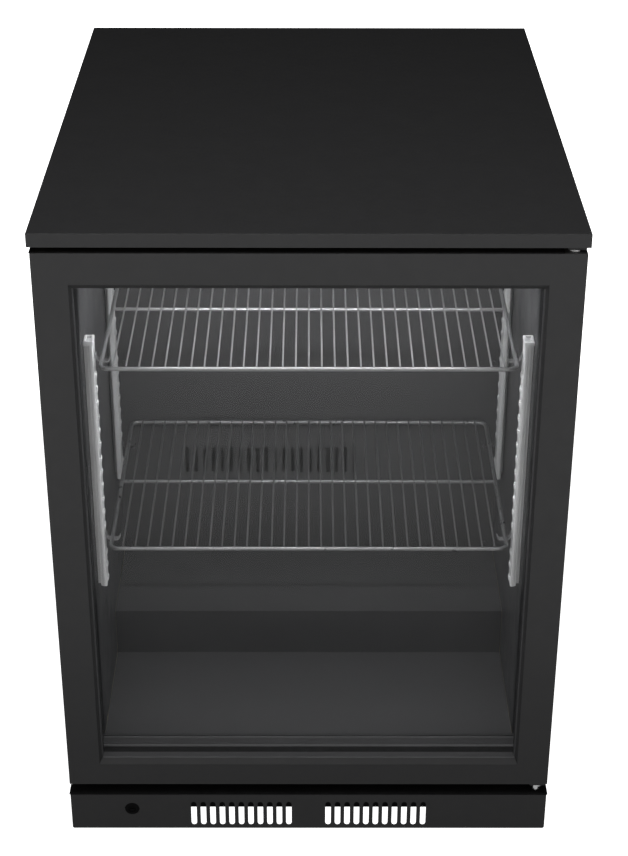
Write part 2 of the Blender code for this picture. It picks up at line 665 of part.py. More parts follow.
def make_shelf(name, z):
    """Wire shelf: a bent rail, one cross rail and thin wires welded on top."""
    bm = bmesh.new()
    loop = rounded_loop(SHELF_HALF, SHELF_FRONT, SHELF_BACK, SHELF_CORNER)
    add_tube(bm, [(x, d, z) for x, d in loop], RAIL_R, 8, closed=True)
    shelf = link(name, bm, CHROME, smooth=True)
    bm = bmesh.new()
    add_tube(bm, [(-SHELF_HALF, SHELF_MIDDLE, z), (SHELF_HALF, SHELF_MIDDLE, z)], CROSS_R, 8)
    combine(shelf, link(f"{name}_cross_rail", bm, CHROME), "UNION")
    bm = bmesh.new()
    pitch = 2 * SHELF_HALF / (WIRE_COUNT + 1)
    level = z + RAIL_R + WIRE_R / 2
    for i in range(WIRE_COUNT):
        x = pitch * (i - (WIRE_COUNT - 1) / 2)
        back = SHELF_BACK
        add_tube(bm, [(x, SHELF_FRONT, level), (x, back, level)], WIRE_R, 4)
    combine(shelf, link(f"{name}_wires", bm, CHROME), "UNION")
    carry(joint_empty(f"{name}_lift", 0.0, (SHELF_FRONT + SHELF_BACK) / 2, z), shelf)


def make_shelving():
    """Four posts, a clip on each post for each shelf, and the two shelves."""
    for place, depth in POST_DEPTHS.items():
        for hand, side in (("left", -1), ("right", 1)):
            make_post(f"post_{place}_{hand}", side, depth, POST_LOW[place])
            for level, z in SHELF_Z.items():
                make_clip(f"clip_{level}_{place}_{hand}", side, depth, z)
    for level, z in SHELF_Z.items():
        make_shelf(f"shelf_{level}", z)


def make_evaporator_cover():
    """Sheet in front of the evaporator with return-air slots low down and a fan opening at the top."""
    half = INNER_HALF - 0.001
    t = 0.0012
    cover = block("evaporator_cover", (-half, half), (COVER_DEPTH, COVER_DEPTH + t),
                  (STEP_Z + GAP, CEILING_Z - GAP), LINER)
    near, far = COVER_DEPTH - 0.005, COVER_DEPTH + 0.006
    bm = bmesh.new()
    for i in range(SLOT_COUNT):
        outline = slot_outline(SLOT_FIRST + SLOT_PITCH * i, SLOT_LOW, SLOT_HIGH, SLOT_W, 3)
        add_prism(bm, outline, "Y", near, far)
    add_prism(bm, circle(0.0, COOL_FAN_Z, COOL_FAN_R + 0.003, 40), "Y", near, far)
    combine(cover, link("evaporator_cover_openings", bm, LINER), "DIFFERENCE")


def comb(x0, x1, spine, tips, pitch, fin):
    """Outline in (x, depth) of a row of fins on a spine; spine and tips are (depth, depth)."""
    count = int((x1 - x0 - fin) / pitch)
    points = [(x0, spine[0]), (x0, tips)]
    for i in range(count):
        left = x0 + fin + pitch * i
        points += [(left, tips), (left, spine[1]), (left + pitch - fin, spine[1]), (left + pitch - fin, tips)]
    return points + [(x1, tips), (x1, spine[0])]


def fan(name, x, z, near, radius, hub_r, length, look, blades=5):
    """Axial fan: a turned hub with pitched flat blades, spinning about Y."""
    hub = turned(name, [(0, 0), (hub_r * 0.8, 0), (hub_r, 0.002), (hub_r, length), (0, length)],
                 (x, at(near), z), "Y", look)
    root = hub_r * 0.8
    reach = math.sqrt(radius ** 2 - (radius * 0.3) ** 2)
    size = Vector((reach - root, 0.0018, radius * 0.6))
    pitch = Matrix.Rotation(math.radians(22), 4, "X")
    centre = Matrix.Translation((x, at(near + length / 2), z))
    bm = bmesh.new()
    for i in range(blades):
        turn = Matrix.Rotation(math.tau * i / blades, 4, "Y")
        out = Matrix.Translation(((reach + root) / 2, 0, 0))
        bmesh.ops.create_cube(bm, size=1.0, matrix=centre @ turn @ out @ pitch @ Matrix.Diagonal((*size, 1)))
    combine(hub, link(f"{name}_blades", bm, look), "UNION")
    carry(joint_empty(f"{name}_axis", x, near, z), hub)


def fan_motor(name, x, z, near, far, span, foot, look):
    """Fan motor on a strap whose ends reach to the plate at depth foot."""
    body = turned(name, [(0, near - 0.004), (0.003, near - 0.004), (0.003, near), (0.020, near),
                         (0.022, near + 0.002), (0.022, far), (0, far)], (x, FRONT, z), "Y", look)
    path = [(x - span, foot), (x - span, far - 0.001), (x + span, far - 0.001), (x + span, foot)]
    strap = prism(f"{name}_strap", strip(path, 0.0015), "Z", z - 0.008, z + 0.008, look)
    combine(body, strap, "UNION")


def make_evaporator():
    """Finned coil and the fan that blows cold air back into the compartment."""
    coil = comb(-0.200, 0.200, (0.486, 0.482), 0.440, 0.010, 0.002)
    prism("evaporator_coil", coil, "Z", 0.345, 0.560, FINS)
    fan("evaporator_fan", 0.0, COOL_FAN_Z, 0.406, COOL_FAN_R - 0.002, 0.020, 0.018, PLASTIC)
    fan_motor("evaporator_fan_motor", 0.0, COOL_FAN_Z, 0.4290, 0.462, 0.075,
              COVER_DEPTH + 0.0012 + GAP, GALVANISED)


def make_ceiling_fittings():
    """Light bar and thermostat knob under the ceiling, behind the door's top rail."""
    high = CEILING_Z - GAP
    low = 0.737
    light = [(0.086, high), (0.086, low + 0.006), (0.092, low), (0.100, low), (0.106, low + 0.006),
             (0.106, high)]
    prism("light_bar", light, "X", -0.200, 0.200, DIFFUSER)
    grip = [(0, 0.0), (0.003, 0.0), (0.003, -0.004), (0.016, -0.004), (0.016, -0.014), (0.014, -0.016),
            (0, -0.016)]
    centre = (0.120, at(0.160), high)
    knob = turned("thermostat_knob", grip, centre, "Z", PLASTIC)
    bm = bmesh.new()
    add_box(bm, (0.1185, 0.1215), (0.146, 0.160), (high - 0.0175, high - 0.0155))
    combine(knob, link("thermostat_pointer", bm, PLASTIC), "UNION")
    carry(joint_empty("thermostat_axis", 0.120, 0.160, high), knob)


def make_compressor():
    """Hollow hermetic compressor with an open process tube, on a mounting plate."""
    wall = 0.003
    outer = [(0.005, 0.222), (0.005, 0.206), (0.030, 0.204), (0.052, 0.194), (0.065, 0.172),
             (0.068, 0.140), (0.068, 0.100), (0.060, 0.072), (0.042, 0.058)]
    inner = [(r - wall, z - wall if z > 0.12 else z + wall) for r, z in outer[2:]]
    profile = [(0, 0.056)] + outer[::-1] + [(0.0035, 0.222), (0.0035, 0.200)] + inner + [(0, 0.060)]
    shell = turned("compressor", profile, (0.150, at(0.625), 0), "Z", ENAMEL, 28)
    low = BASE_TOP + GAP
    combine(shell, block("compressor_foot", (0.065, 0.235), (0.570, 0.680), (low, 0.0575), ENAMEL), "UNION")
    relay = block("compressor_relay", (0.205, 0.245), (0.600, 0.650), (0.110, 0.165), ENAMEL, 0.003)
    combine(shell, relay, "UNION")


def make_condenser():
    """Finned condenser behind the rear grille, its shroud, fan and motor."""
    x0, x1 = HEAT_FAN_X - 0.100, HEAT_FAN_X + 0.100
    low = BASE_TOP + GAP
    coil = comb(x0, x1, (0.667, 0.671), 0.706, 0.008, 0.002)
    prism("condenser_coil", coil, "Z", low, 0.262, FINS)
    bm = bmesh.new()
    add_box(bm, (x0, x1), (0.6615, 0.6630), (low, 0.262))
    shroud = link("condenser_shroud", bm, GALVANISED)
    mouth = prism("condenser_mouth", circle(HEAT_FAN_X, HEAT_FAN_Z, HEAT_FAN_R + 0.003, 40), "Y",
                  0.650, 0.680, GALVANISED)
    combine(shroud, mouth, "DIFFERENCE")
    fan("condenser_fan", HEAT_FAN_X, HEAT_FAN_Z, 0.634, HEAT_FAN_R - 0.002, 0.022, 0.022, PLASTIC)
    fan_motor("condenser_fan_motor", HEAT_FAN_X, HEAT_FAN_Z, 0.588, 0.629, 0.092, 0.6612, GALVANISED)


def make_rear_grille():
    """Rear cover with level slots over the condenser and the compressor, and the cable gland."""
    cover = block("rear_grille", (-0.288, 0.288), (GRILLE_DEPTH, GRILLE_DEPTH + GRILLE_T),
                  (BASE_TOP + 0.003, 0.780), GALVANISED)
    bm = bmesh.new()
    for row in range(15):
        z = 0.070 + 0.012 * row
        for x0, x1 in ((-0.255, -0.065), (0.065, 0.255)):
            add_box(bm, (x0, x1), (GRILLE_DEPTH - 0.004, GRILLE_DEPTH + 0.004), (z, z + 0.005))
    add_prism(bm, circle(0.220, 0.330, 0.0085), "Y", GRILLE_DEPTH - 0.004, GRILLE_DEPTH + 0.004)
    combine(cover, link("rear_grille_openings", bm, GALVANISED), "DIFFERENCE")
    gland = [(0.0045, 0.706), (0.0110, 0.706), (0.0110, GRILLE_DEPTH - GAP), (0.0081, GRILLE_DEPTH - GAP),
             (0.0081, GRILLE_DEPTH + GRILLE_T + GAP), (0.0110, GRILLE_DEPTH + GRILLE_T + GAP),
             (0.0110, 0.7215), (0.0075, 0.7285), (0.0045, 0.7285)]
    turned("cable_gland", gland, (0.220, FRONT, 0.330), "Y", PLASTIC)


make_worktop()
make_side_panel("side_panel_left", -1)
make_side_panel("side_panel_right", 1)
make_base()
make_insulation()
make_liner()
make_breaker_frame()
make_partition()
make_plinth()
make_lock()
make_hinges()
make_door()
make_shelving()
make_evaporator_cover()
make_evaporator()
make_ceiling_fittings()
make_compressor()
make_condenser()
make_rear_grille()
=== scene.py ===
"""Looks for the undercounter refrigerator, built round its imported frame.

Metres, +Z up. The door faces -Y. Depths are measured back from the front plane, as in the CAD.
"""
import json
import math

import bmesh
import bpy
from mathutils import Matrix, Vector


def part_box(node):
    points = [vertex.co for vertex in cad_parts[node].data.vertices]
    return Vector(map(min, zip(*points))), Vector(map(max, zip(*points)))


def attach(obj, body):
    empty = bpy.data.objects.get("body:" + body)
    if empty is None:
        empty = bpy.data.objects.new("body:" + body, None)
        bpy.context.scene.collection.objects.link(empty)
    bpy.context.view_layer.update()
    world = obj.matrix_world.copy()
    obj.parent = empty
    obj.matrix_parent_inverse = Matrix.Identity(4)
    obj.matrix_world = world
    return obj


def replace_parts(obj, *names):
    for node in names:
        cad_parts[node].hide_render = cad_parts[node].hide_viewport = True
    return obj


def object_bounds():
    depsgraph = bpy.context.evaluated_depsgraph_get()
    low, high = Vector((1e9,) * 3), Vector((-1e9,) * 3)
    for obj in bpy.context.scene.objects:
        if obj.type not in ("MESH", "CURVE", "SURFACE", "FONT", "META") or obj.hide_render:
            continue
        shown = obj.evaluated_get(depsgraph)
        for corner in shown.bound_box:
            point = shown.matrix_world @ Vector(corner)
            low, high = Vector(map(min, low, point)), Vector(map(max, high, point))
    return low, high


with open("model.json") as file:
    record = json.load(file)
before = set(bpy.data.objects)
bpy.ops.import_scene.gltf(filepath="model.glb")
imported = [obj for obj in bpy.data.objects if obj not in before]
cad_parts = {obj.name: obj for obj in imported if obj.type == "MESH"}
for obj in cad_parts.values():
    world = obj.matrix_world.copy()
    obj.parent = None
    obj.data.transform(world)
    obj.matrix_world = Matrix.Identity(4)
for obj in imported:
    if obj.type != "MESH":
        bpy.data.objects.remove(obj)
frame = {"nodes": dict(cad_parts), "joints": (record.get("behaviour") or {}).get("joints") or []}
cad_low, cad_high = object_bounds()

NODES = frame["nodes"]
FRONT = cad_low[1]


def at(depth):
    """The Y of a depth behind the front plane."""
    return FRONT + depth


# ---------------------------------------------------------------- material tools

def new_material(name):
    """A material with its node tree and Principled shader."""
    made = bpy.data.materials.new(name)
    made.use_nodes = True
    return made, made.node_tree, made.node_tree.nodes["Principled BSDF"]


def add_node(tree, kind, inputs=None, **settings):
    """Add a node. inputs maps a socket's name or index to a value or to another socket."""
    made = tree.nodes.new(kind)
    for key, value in settings.items():
        setattr(made, key, value)
    for key, value in (inputs or {}).items():
        if isinstance(value, bpy.types.NodeSocket):
            tree.links.new(value, made.inputs[key])
        else:
            made.inputs[key].default_value = value
    return made


def coordinates(tree, stretch=(1, 1, 1)):
    """Object coordinates in metres, stretched per axis."""
    source = add_node(tree, "ShaderNodeTexCoord").outputs["Object"]
    return add_node(tree, "ShaderNodeMapping", {"Vector": source, "Scale": stretch}).outputs["Vector"]


def noise(tree, coords, scale, detail=2.0, rough=0.5):
    """Noise value from 0 to 1, with features about 1/scale metres across."""
    made = add_node(tree, "ShaderNodeTexNoise",
                    {"Vector": coords, "Scale": scale, "Detail": detail, "Roughness": rough})
    return made.outputs["Fac"]


def cells(tree, coords, scale, feature="F1"):
    """Voronoi distance and colour."""
    made = add_node(tree, "ShaderNodeTexVoronoi", {"Vector": coords, "Scale": scale}, feature=feature)
    return made.outputs["Distance"], made.outputs["Color"]


def spread(tree, value, low, high, source=(0.3, 0.7)):
    """Map a noise value to a range."""
    made = add_node(tree, "ShaderNodeMapRange", {
        "Value": value, "From Min": source[0], "From Max": source[1], "To Min": low, "To Max": high})
    return made.outputs["Result"]


def mix_colour(tree, factor, first, second):
    """Blend two colours, or two sockets."""
    made = add_node(tree, "ShaderNodeMix", data_type="RGBA")
    for socket, value in ((made.inputs[0], factor), (made.inputs[6], first), (made.inputs[7], second)):
        if isinstance(value, bpy.types.NodeSocket):
            tree.links.new(value, socket)
        elif socket == made.inputs[0]:
            socket.default_value = value
        else:
            socket.default_value = (*value, 1.0)
    return made.outputs[2]


def add_bump(tree, shader, height, distance, strength=1.0):
    """Bump on top of whatever normal the shader already has."""
    made = add_node(tree, "ShaderNodeBump", {"Height": height, "Distance": distance, "Strength": strength})
    links = shader.inputs["Normal"].links
    if links:
        tree.links.new(links[0].from_socket, made.inputs["Normal"])
    tree.links.new(made.outputs["Normal"], shader.inputs["Normal"])


def shade(rgb, factor):
    """A colour made lighter or darker."""
    return tuple(min(1.0, c * factor) for c in rgb)


def surface(name, rgb, rough, metallic=0.0, specular=0.5, vary=0.08, patch=9.0, grain=None,
            stretch=(1, 1, 1), coat=0.0, second=None):
    """A painted, moulded or metal surface.

    Colour and roughness drift over patches and again at the grain. grain is a list of
    (scale per metre, height in metres) bumps. second is a colour for the drift's other end.
    """
    made, tree, shader = new_material(name)
    coords = coordinates(tree, stretch)
    plain = coordinates(tree)
    broad = noise(tree, plain, patch, 4.0, 0.6)
    fine = noise(tree, coords, grain[0][0] if grain else 400.0, 2.0)
    base = mix_colour(tree, spread(tree, broad, 0, 1), shade(rgb, 1 - vary), second or shade(rgb, 1 + vary))
    tint = mix_colour(tree, spread(tree, fine, 0, 1), shade(rgb, 1 - vary), base)
    tree.links.new(mix_colour(tree, 0.55, tint, base), shader.inputs["Base Color"])
    drift = noise(tree, coords, patch * 3.1, 3.0)
    tree.links.new(spread(tree, drift, rough * 0.88, min(1.0, rough * 1.12)), shader.inputs["Roughness"])
    shader.inputs["Metallic"].default_value = metallic
    shader.inputs["Specular IOR Level"].default_value = specular
    shader.inputs["Coat Weight"].default_value = coat
    shader.inputs["Coat Roughness"].default_value = 0.12
    for scale, height in grain or []:
        add_bump(tree, shader, noise(tree, coords, scale, 3.0), height)
    return made


def galvanised(name, rgb, rough):
    """Zinc coated sheet with its crystal spangle."""
    made, tree, shader = new_material(name)
    coords = coordinates(tree)
    warp = noise(tree, coords, 60.0, 3.0)
    mixed = add_node(tree, "ShaderNodeMixRGB", {"Fac": 0.012, "Color1": coords, "Color2": warp})
    _, colour = cells(tree, mixed.outputs["Color"], 95.0)
    value = add_node(tree, "ShaderNodeSeparateColor", {"Color": colour}).outputs[0]
    drift = noise(tree, coords, 7.0, 4.0)
    spangle = mix_colour(tree, value, shade(rgb, 0.80), shade(rgb, 1.18))
    tree.links.new(mix_colour(tree, spread(tree, drift, 0, 0.5), spangle, shade(rgb, 0.85)),
                   shader.inputs["Base Color"])
    tree.links.new(spread(tree, value, rough * 0.8, rough * 1.25, (0, 1)), shader.inputs["Roughness"])
    shader.inputs["Metallic"].default_value = 1.0
    add_bump(tree, shader, value, 0.00003)
    return made


def chips(name, light, dark, rough):
    """Pressed board: pale chips in a darker binder."""
    made, tree, shader = new_material(name)
    coords = coordinates(tree, (1, 1, 2.5))
    distance, colour = cells(tree, coords, 420.0)
    value = add_node(tree, "ShaderNodeSeparateColor", {"Color": colour}).outputs[1]
    flakes = mix_colour(tree, value, dark, light)
    binder = spread(tree, noise(tree, coords, 30.0), 0, 0.5)
    tree.links.new(mix_colour(tree, binder, flakes, shade(dark, 0.8)), shader.inputs["Base Color"])
    shader.inputs["Roughness"].default_value = rough
    add_bump(tree, shader, distance, 0.0004)
    return made


def foamed(name, rgb):
    """Rigid foam with a skin of small cells."""
    made, tree, shader = new_material(name)
    coords = coordinates(tree)
    distance, _ = cells(tree, coords, 700.0)
    broad = noise(tree, coords, 25.0, 4.0)
    tree.links.new(mix_colour(tree, spread(tree, broad, 0, 1), shade(rgb, 0.82), shade(rgb, 1.1)),
                   shader.inputs["Base Color"])
    shader.inputs["Roughness"].default_value = 0.9
    add_bump(tree, shader, distance, 0.0007)
    add_bump(tree, shader, broad, 0.002)
    return made


def pane(name, alpha, rgb, smear):
    """Clear glass seen as a thin tinted layer, with faint wiping marks in its gloss."""
    made, tree, shader = new_material(name)
    coords = coordinates(tree, (1, 1, 0.35))
    marks = noise(tree, coords, 28.0, 4.0, 0.65)
    tree.links.new(mix_colour(tree, marks, shade(rgb, 0.7), shade(rgb, 1.3)), shader.inputs["Base Color"])
    tree.links.new(spread(tree, marks, 0.02, smear), shader.inputs["Roughness"])
    tree.links.new(spread(tree, marks, alpha * 0.9, alpha * 1.1), shader.inputs["Alpha"])
    shader.inputs["Specular IOR Level"].default_value = GLASS_SPECULAR
    return made


def glowing(name, rgb, strength):
    """A lit diffuser whose colour drifts a little at random."""
    made, tree, shader = new_material(name)
    coords = coordinates(tree)
    drift = noise(tree, coords, 40.0, 2.0)
    colour = mix_colour(tree, spread(tree, drift, 0, 1), shade(rgb, 0.94), rgb)
    tree.links.new(colour, shader.inputs["Base Color"])
    tree.links.new(colour, shader.inputs["Emission Color"])
    shader.inputs["Emission Strength"].default_value = strength
    shader.inputs["Roughness"].default_value = 0.5
    add_bump(tree, shader, noise(tree, coords, 900.0), 0.00005)
    return made


# ---------------------------------------------------------------- mesh tools

def finish_mesh(name, bm, look, body, smooth=True, angle=40):
    """Link a bmesh as a piece that rides on a body."""
    bmesh.ops.recalc_face_normals(bm, faces=bm.faces)
    mesh = bpy.data.meshes.new(name)
    bm.to_mesh(mesh)
    bm.free()
    if smooth:
        mesh.shade_smooth()
        mesh.set_sharp_from_angle(angle=math.radians(angle))
    mesh.materials.append(look)
    made = bpy.data.objects.new(name, mesh)
    bpy.context.scene.collection.objects.link(made)
    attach(made, body)
    return made


def add_tube(bm, path, radius, sides=10, closed=False, capped=True):
    """Sweep a round section along points, turning its frame as little as it can."""
    points = [Vector(p) for p in path]
    count = len(points)
    tangents = []
    for i, p in enumerate(points):
        before = points[i - 1] if closed or i else p
        after = points[(i + 1) % count] if closed or i + 1 < count else p
        tangents.append((after - before).normalized())
    side = tangents[0].orthogonal().normalized()
    if abs(tangents[0].z) < 0.9:
        side = tangents[0].cross(Vector((0, 0, 1))).normalized()
    rings = []
    for i, (p, along) in enumerate(zip(points, tangents)):
        if i:
            side = tangents[i - 1].rotation_difference(along) @ side
        up = along.cross(side)
        turns = [math.tau * k / sides for k in range(sides)]
        rings.append([bm.verts.new(p + radius * (math.cos(t) * side + math.sin(t) * up)) for t in turns])
    for i in range(count if closed else count - 1):
        near, far = rings[i], rings[(i + 1) % count]
        for k in range(sides):
            j = (k + 1) % sides
            bm.faces.new((near[k], near[j], far[j], far[k]))
    if capped and not closed:
        bm.faces.new(rings[0])
        bm.faces.new(rings[-1][::-1])


def rounded_path(points, radius, steps=5):
    """Round the inside corners of an open path."""
    points = [Vector(p) for p in points]
    out = [points[0]]
    for before, corner, after in zip(points, points[1:], points[2:]):
        a, b = (before - corner).normalized(), (after - corner).normalized()
        reach = min(radius, (before - corner).length * 0.49, (after - corner).length * 0.49)
        start, end = corner + a * reach, corner + b * reach
        for i in range(steps + 1):
            t = i / steps
            out.append(start * (1 - t) ** 2 + corner * 2 * t * (1 - t) + end * t ** 2)
    return out + [points[-1]]


def add_lathe(bm, profile, centre, axis="Z", sides=32):
    """Spin (radius, height) points round an axis. Ends on the axis are closed."""
    turn = {"Z": Matrix.Identity(3), "Y": Matrix.Rotation(math.radians(-90), 3, "X"),
            "X": Matrix.Rotation(math.radians(90), 3, "Y")}[axis]
    rows = []
    for r, h in profile:
        if r < 1e-6:
            rows.append([bm.verts.new(turn @ Vector((0, 0, h)) + Vector(centre))])
            continue
        ring = []
        for k in range(sides):
            t = math.tau * k / sides
            ring.append(bm.verts.new(turn @ Vector((r * math.cos(t), r * math.sin(t), h)) + Vector(centre)))
        rows.append(ring)
    for near, far in zip(rows, rows[1:]):
        for k in range(sides):
            j = (k + 1) % sides
            corners = [near[k % len(near)], near[j % len(near)], far[j % len(far)], far[k % len(far)]]
            corners = list(dict.fromkeys(corners))
            if len(corners) > 2:
                bm.faces.new(corners)
    return rows


def add_block(bm, low, high, rounding=0.0, segments=2):
    """A box between two corners, with its edges rounded."""
    low, high = Vector(low), Vector(high)
    place = Matrix.Translation((low + high) / 2) @ Matrix.Diagonal((*(high - low), 1.0))
    verts = bmesh.ops.create_cube(bm, size=1.0, matrix=place)["verts"]
    if rounding:
        edges = list({e for v in verts for e in v.link_edges})
        bmesh.ops.bevel(bm, geom=edges, offset=rounding, segments=segments, profile=0.5, affect="EDGES")


def add_ribbon(bm, path, across, width, thickness):
    """A flat strip of metal bent along a path. across is the direction of its width."""
    points = [Vector(p) for p in path]
    across = Vector(across).normalized()
    rings = []
    for i, p in enumerate(points):
        before = points[max(i - 1, 0)]
        after = points[min(i + 1, len(points) - 1)]
        normal = (after - before).normalized().cross(across)
        half, t = across * width / 2, normal * thickness / 2
        rings.append([bm.verts.new(v) for v in (p - half - t, p + half - t, p + half + t, p - half + t)])
    for near, far in zip(rings, rings[1:]):
        for k in range(4):
            j = (k + 1) % 4
            bm.faces.new((near[k], near[j], far[j], far[k]))
    bm.faces.new(rings[0])
    bm.faces.new(rings[-1][::-1])


def add_screw(bm, centre, axis, radius, sides=24):
    """Pan head screw with a cross recess. axis is the way the head faces, such as "-Y"."""
    h = radius * 0.55
    profile = [(0.0, 0.0), (radius, 0.0), (radius, h * 0.35), (radius * 0.86, h * 0.75),
               (radius * 0.55, h * 0.97), (radius * 0.5, h)]
    turn = {"-Y": Matrix.Rotation(math.radians(90), 4, "X"), "+Y": Matrix.Rotation(math.radians(-90), 4, "X"),
            "+X": Matrix.Rotation(math.radians(90), 4, "Y"), "-X": Matrix.Rotation(math.radians(-90), 4, "Y"),
            "-Z": Matrix.Rotation(math.radians(180), 4, "X"), "+Z": Matrix.Identity(4)}[axis]
    place = Matrix.Translation(centre) @ turn
    head = bmesh.new()
    rows = add_lathe(head, profile, (0, 0, 0), "Z", sides)
    arm, notch, deep = radius * 0.42, radius * 0.11, h * 0.55
    cross = [(arm, notch), (notch, notch), (notch, arm), (-notch, arm), (-notch, notch), (-arm, notch),
             (-arm, -notch), (-notch, -notch), (-notch, -arm), (notch, -arm), (notch, -notch), (arm, -notch)]
    top = [head.verts.new((x, y, h)) for x, y in cross]
    floor = [head.verts.new((x * 0.8, y * 0.8, h - deep)) for x, y in cross]
    rim = rows[-1]
    rim_edges = [head.edges.get((rim[k], rim[(k + 1) % sides])) for k in range(sides)]
    top_edges = [head.edges.new((top[k], top[(k + 1) % 12])) for k in range(12)]
    bmesh.ops.triangle_fill(head, use_beauty=True, edges=rim_edges + top_edges)
    inner = set(top)
    extra = [f for f in head.faces if inner.issuperset(f.verts)]
    bmesh.ops.delete(head, geom=extra, context="FACES_ONLY")
    for k in range(12):
        j = (k + 1) % 12
        head.faces.new((top[k], top[j], floor[j], floor[k]))
    head.faces.new(floor)
    head.transform(place)
    mesh = bpy.data.meshes.new("screw_part")
    head.to_mesh(mesh)
    head.free()
    bm.from_mesh(mesh)
    bpy.data.meshes.remove(mesh)


# ---------------------------------------------------------------- looks

COAT = (0.0185, 0.0185, 0.019)
GLASS_SPECULAR = 1.0
OUTER_ALPHA = 0.075
INNER_ALPHA = 0.038

powder = surface("powder_coat_black", COAT, 0.50, specular=0.22, vary=0.05, patch=26.0,
                 grain=[(1500.0, 0.00005), (420.0, 0.00003)])
door_coat = surface("powder_coat_door", shade(COAT, 0.95), 0.48, specular=0.24, vary=0.05, patch=24.0,
                    grain=[(1700.0, 0.00004), (460.0, 0.00003)])
liner = surface("liner_satin_paint", (0.064, 0.064, 0.066), 0.50, specular=0.35, vary=0.05, patch=8.0,
                grain=[(900.0, 0.00003), (160.0, 0.00004)])
plastic = surface("moulded_black_plastic", (0.016, 0.016, 0.017), 0.52, specular=0.40, vary=0.10,
                  patch=14.0, grain=[(2300.0, 0.00004)])
door_lining = surface("door_lining_plastic", (0.044, 0.044, 0.0455), 0.50, specular=0.35, vary=0.06,
                      patch=16.0, grain=[(2300.0, 0.00003)])
rubber = surface("black_rubber", (0.008, 0.008, 0.0084), 0.74, specular=0.22, vary=0.16, patch=30.0,
                 grain=[(1300.0, 0.00006), (240.0, 0.00008)])
zinc = surface("bright_zinc_plate", (0.84, 0.845, 0.85), 0.42, metallic=0.15, vary=0.03, patch=35.0,
               grain=[(1200.0, 0.000004)])
# Darker copies of the chrome for the lower shelf's wires and rails: painted shade under the top shelf.
wire_painted_shade = surface("chrome_wire_painted_shade", (0.19, 0.191, 0.194), 0.36, metallic=0.60, vary=0.06, patch=40.0,
                      grain=[(900.0, 0.000005)])
rail_painted_shade = surface("chrome_rail_painted_shade", (0.25, 0.252, 0.256), 0.30, metallic=0.70, vary=0.06, patch=40.0,
                      grain=[(900.0, 0.000005)])
rail_chrome = surface("bright_chrome_rail", (0.33, 0.332, 0.337), 0.32, metallic=0.66, vary=0.06, patch=40.0,
                      grain=[(900.0, 0.000005)])
# Darker copy of the zinc for the rear posts: painted shade.
zinc_painted_shade = surface("zinc_plate_painted_shade", (0.66, 0.665, 0.67), 0.44, metallic=0.25, vary=0.03, patch=35.0,
                    grain=[(1200.0, 0.000004)])
# Darker copy of the spring steel for the rear clips: painted shade.
clip_steel_painted_shade = surface("spring_steel_painted_shade", (0.13, 0.13, 0.132), 0.42, metallic=0.6, vary=0.08, patch=60.0,
                    grain=[(1500.0, 0.00001)])
clip_steel = surface("spring_steel", (0.38, 0.38, 0.385), 0.38, metallic=0.7, vary=0.08, patch=60.0,
                     grain=[(1500.0, 0.00001)])
chrome = surface("bright_chrome_wire", (0.32, 0.322, 0.327), 0.36, metallic=0.60, vary=0.06, patch=40.0,
                 grain=[(900.0, 0.000005)])
steel_pin = surface("bright_steel_pin", (0.72, 0.725, 0.73), 0.18, metallic=1.0, vary=0.08, patch=120.0,
                    grain=[(2500.0, 0.00001)], stretch=(0.2, 0.2, 1))
galvanised_sheet = galvanised("galvanised_sheet", (0.44, 0.45, 0.46), 0.42)
fins = surface("aluminium_fins", (0.68, 0.69, 0.71), 0.34, metallic=1.0, vary=0.08, patch=18.0,
               grain=[(700.0, 0.00003)], stretch=(1, 1, 0.15))
spacer_metal = surface("spacer_aluminium", (0.068, 0.068, 0.070), 0.50, metallic=0.4, vary=0.06, patch=22.0,
                       grain=[(1400.0, 0.00002)])
copper = surface("copper_pipe", (0.62, 0.30, 0.17), 0.32, metallic=1.0, vary=0.12, patch=30.0,
                 grain=[(800.0, 0.00003)], second=(0.40, 0.20, 0.12))
enamel = surface("compressor_enamel", (0.010, 0.010, 0.011), 0.30, specular=0.5, vary=0.12, patch=16.0,
                 grain=[(420.0, 0.00006)], coat=0.6)
lock_finish = surface("lock_black_lacquer", (0.002, 0.002, 0.0022), 0.60, specular=0.05, vary=0.15,
                      patch=60.0, grain=[(1800.0, 0.00002)])
# Near-black strips laid on faces in shadow: painted shade.
painted_shade_strip = surface("black_strip_painted_shade", (0.006, 0.006, 0.0061), 0.95, specular=0.03, vary=0.2, patch=90.0,
               grain=[(1600.0, 0.0001)])
# White colour on the top hinge pin stands in for its glint in the dark gap: painted highlight.
pin_painted_glint = surface("white_pin_painted_glint", (0.90, 0.90, 0.89), 0.40, specular=0.4, vary=0.03, patch=90.0,
                grain=[(1800.0, 0.00002)])
coated_fins = surface("epoxy_coated_fins", (0.014, 0.014, 0.015), 0.55, specular=0.2, vary=0.15, patch=18.0,
                      grain=[(700.0, 0.00003)], stretch=(1, 1, 0.15))
# Lighter grey strips along the panes' edges: painted highlight standing in for the glass edge glint.
edge_painted_glint = surface("glass_edge_painted_glint", (0.085, 0.085, 0.087), 0.55, specular=0.3, vary=0.06, patch=30.0,
                    grain=[(1500.0, 0.00002)])
# Black paint made near black, darker than the powder coat: partly painted shade under the cabinet.
underside_painted_shade = surface("black_paint_painted_shade", (0.003, 0.003, 0.0031), 0.75, specular=0.05, vary=0.2,
                    patch=20.0, grain=[(700.0, 0.00005)])
foam = foamed("insulation_foam", (0.72, 0.63, 0.38))
board = chips("worktop_chipboard", (0.52, 0.38, 0.22), (0.26, 0.17, 0.09), 0.88)
outer_glass = pane("door_glass_outer", OUTER_ALPHA, (0.012, 0.013, 0.013), 0.045)
inner_glass = pane("door_glass_inner", INNER_ALPHA, (0.012, 0.013, 0.013), 0.045)
diffuser = glowing("light_diffuser", (0.93, 0.95, 1.0), 6.0)

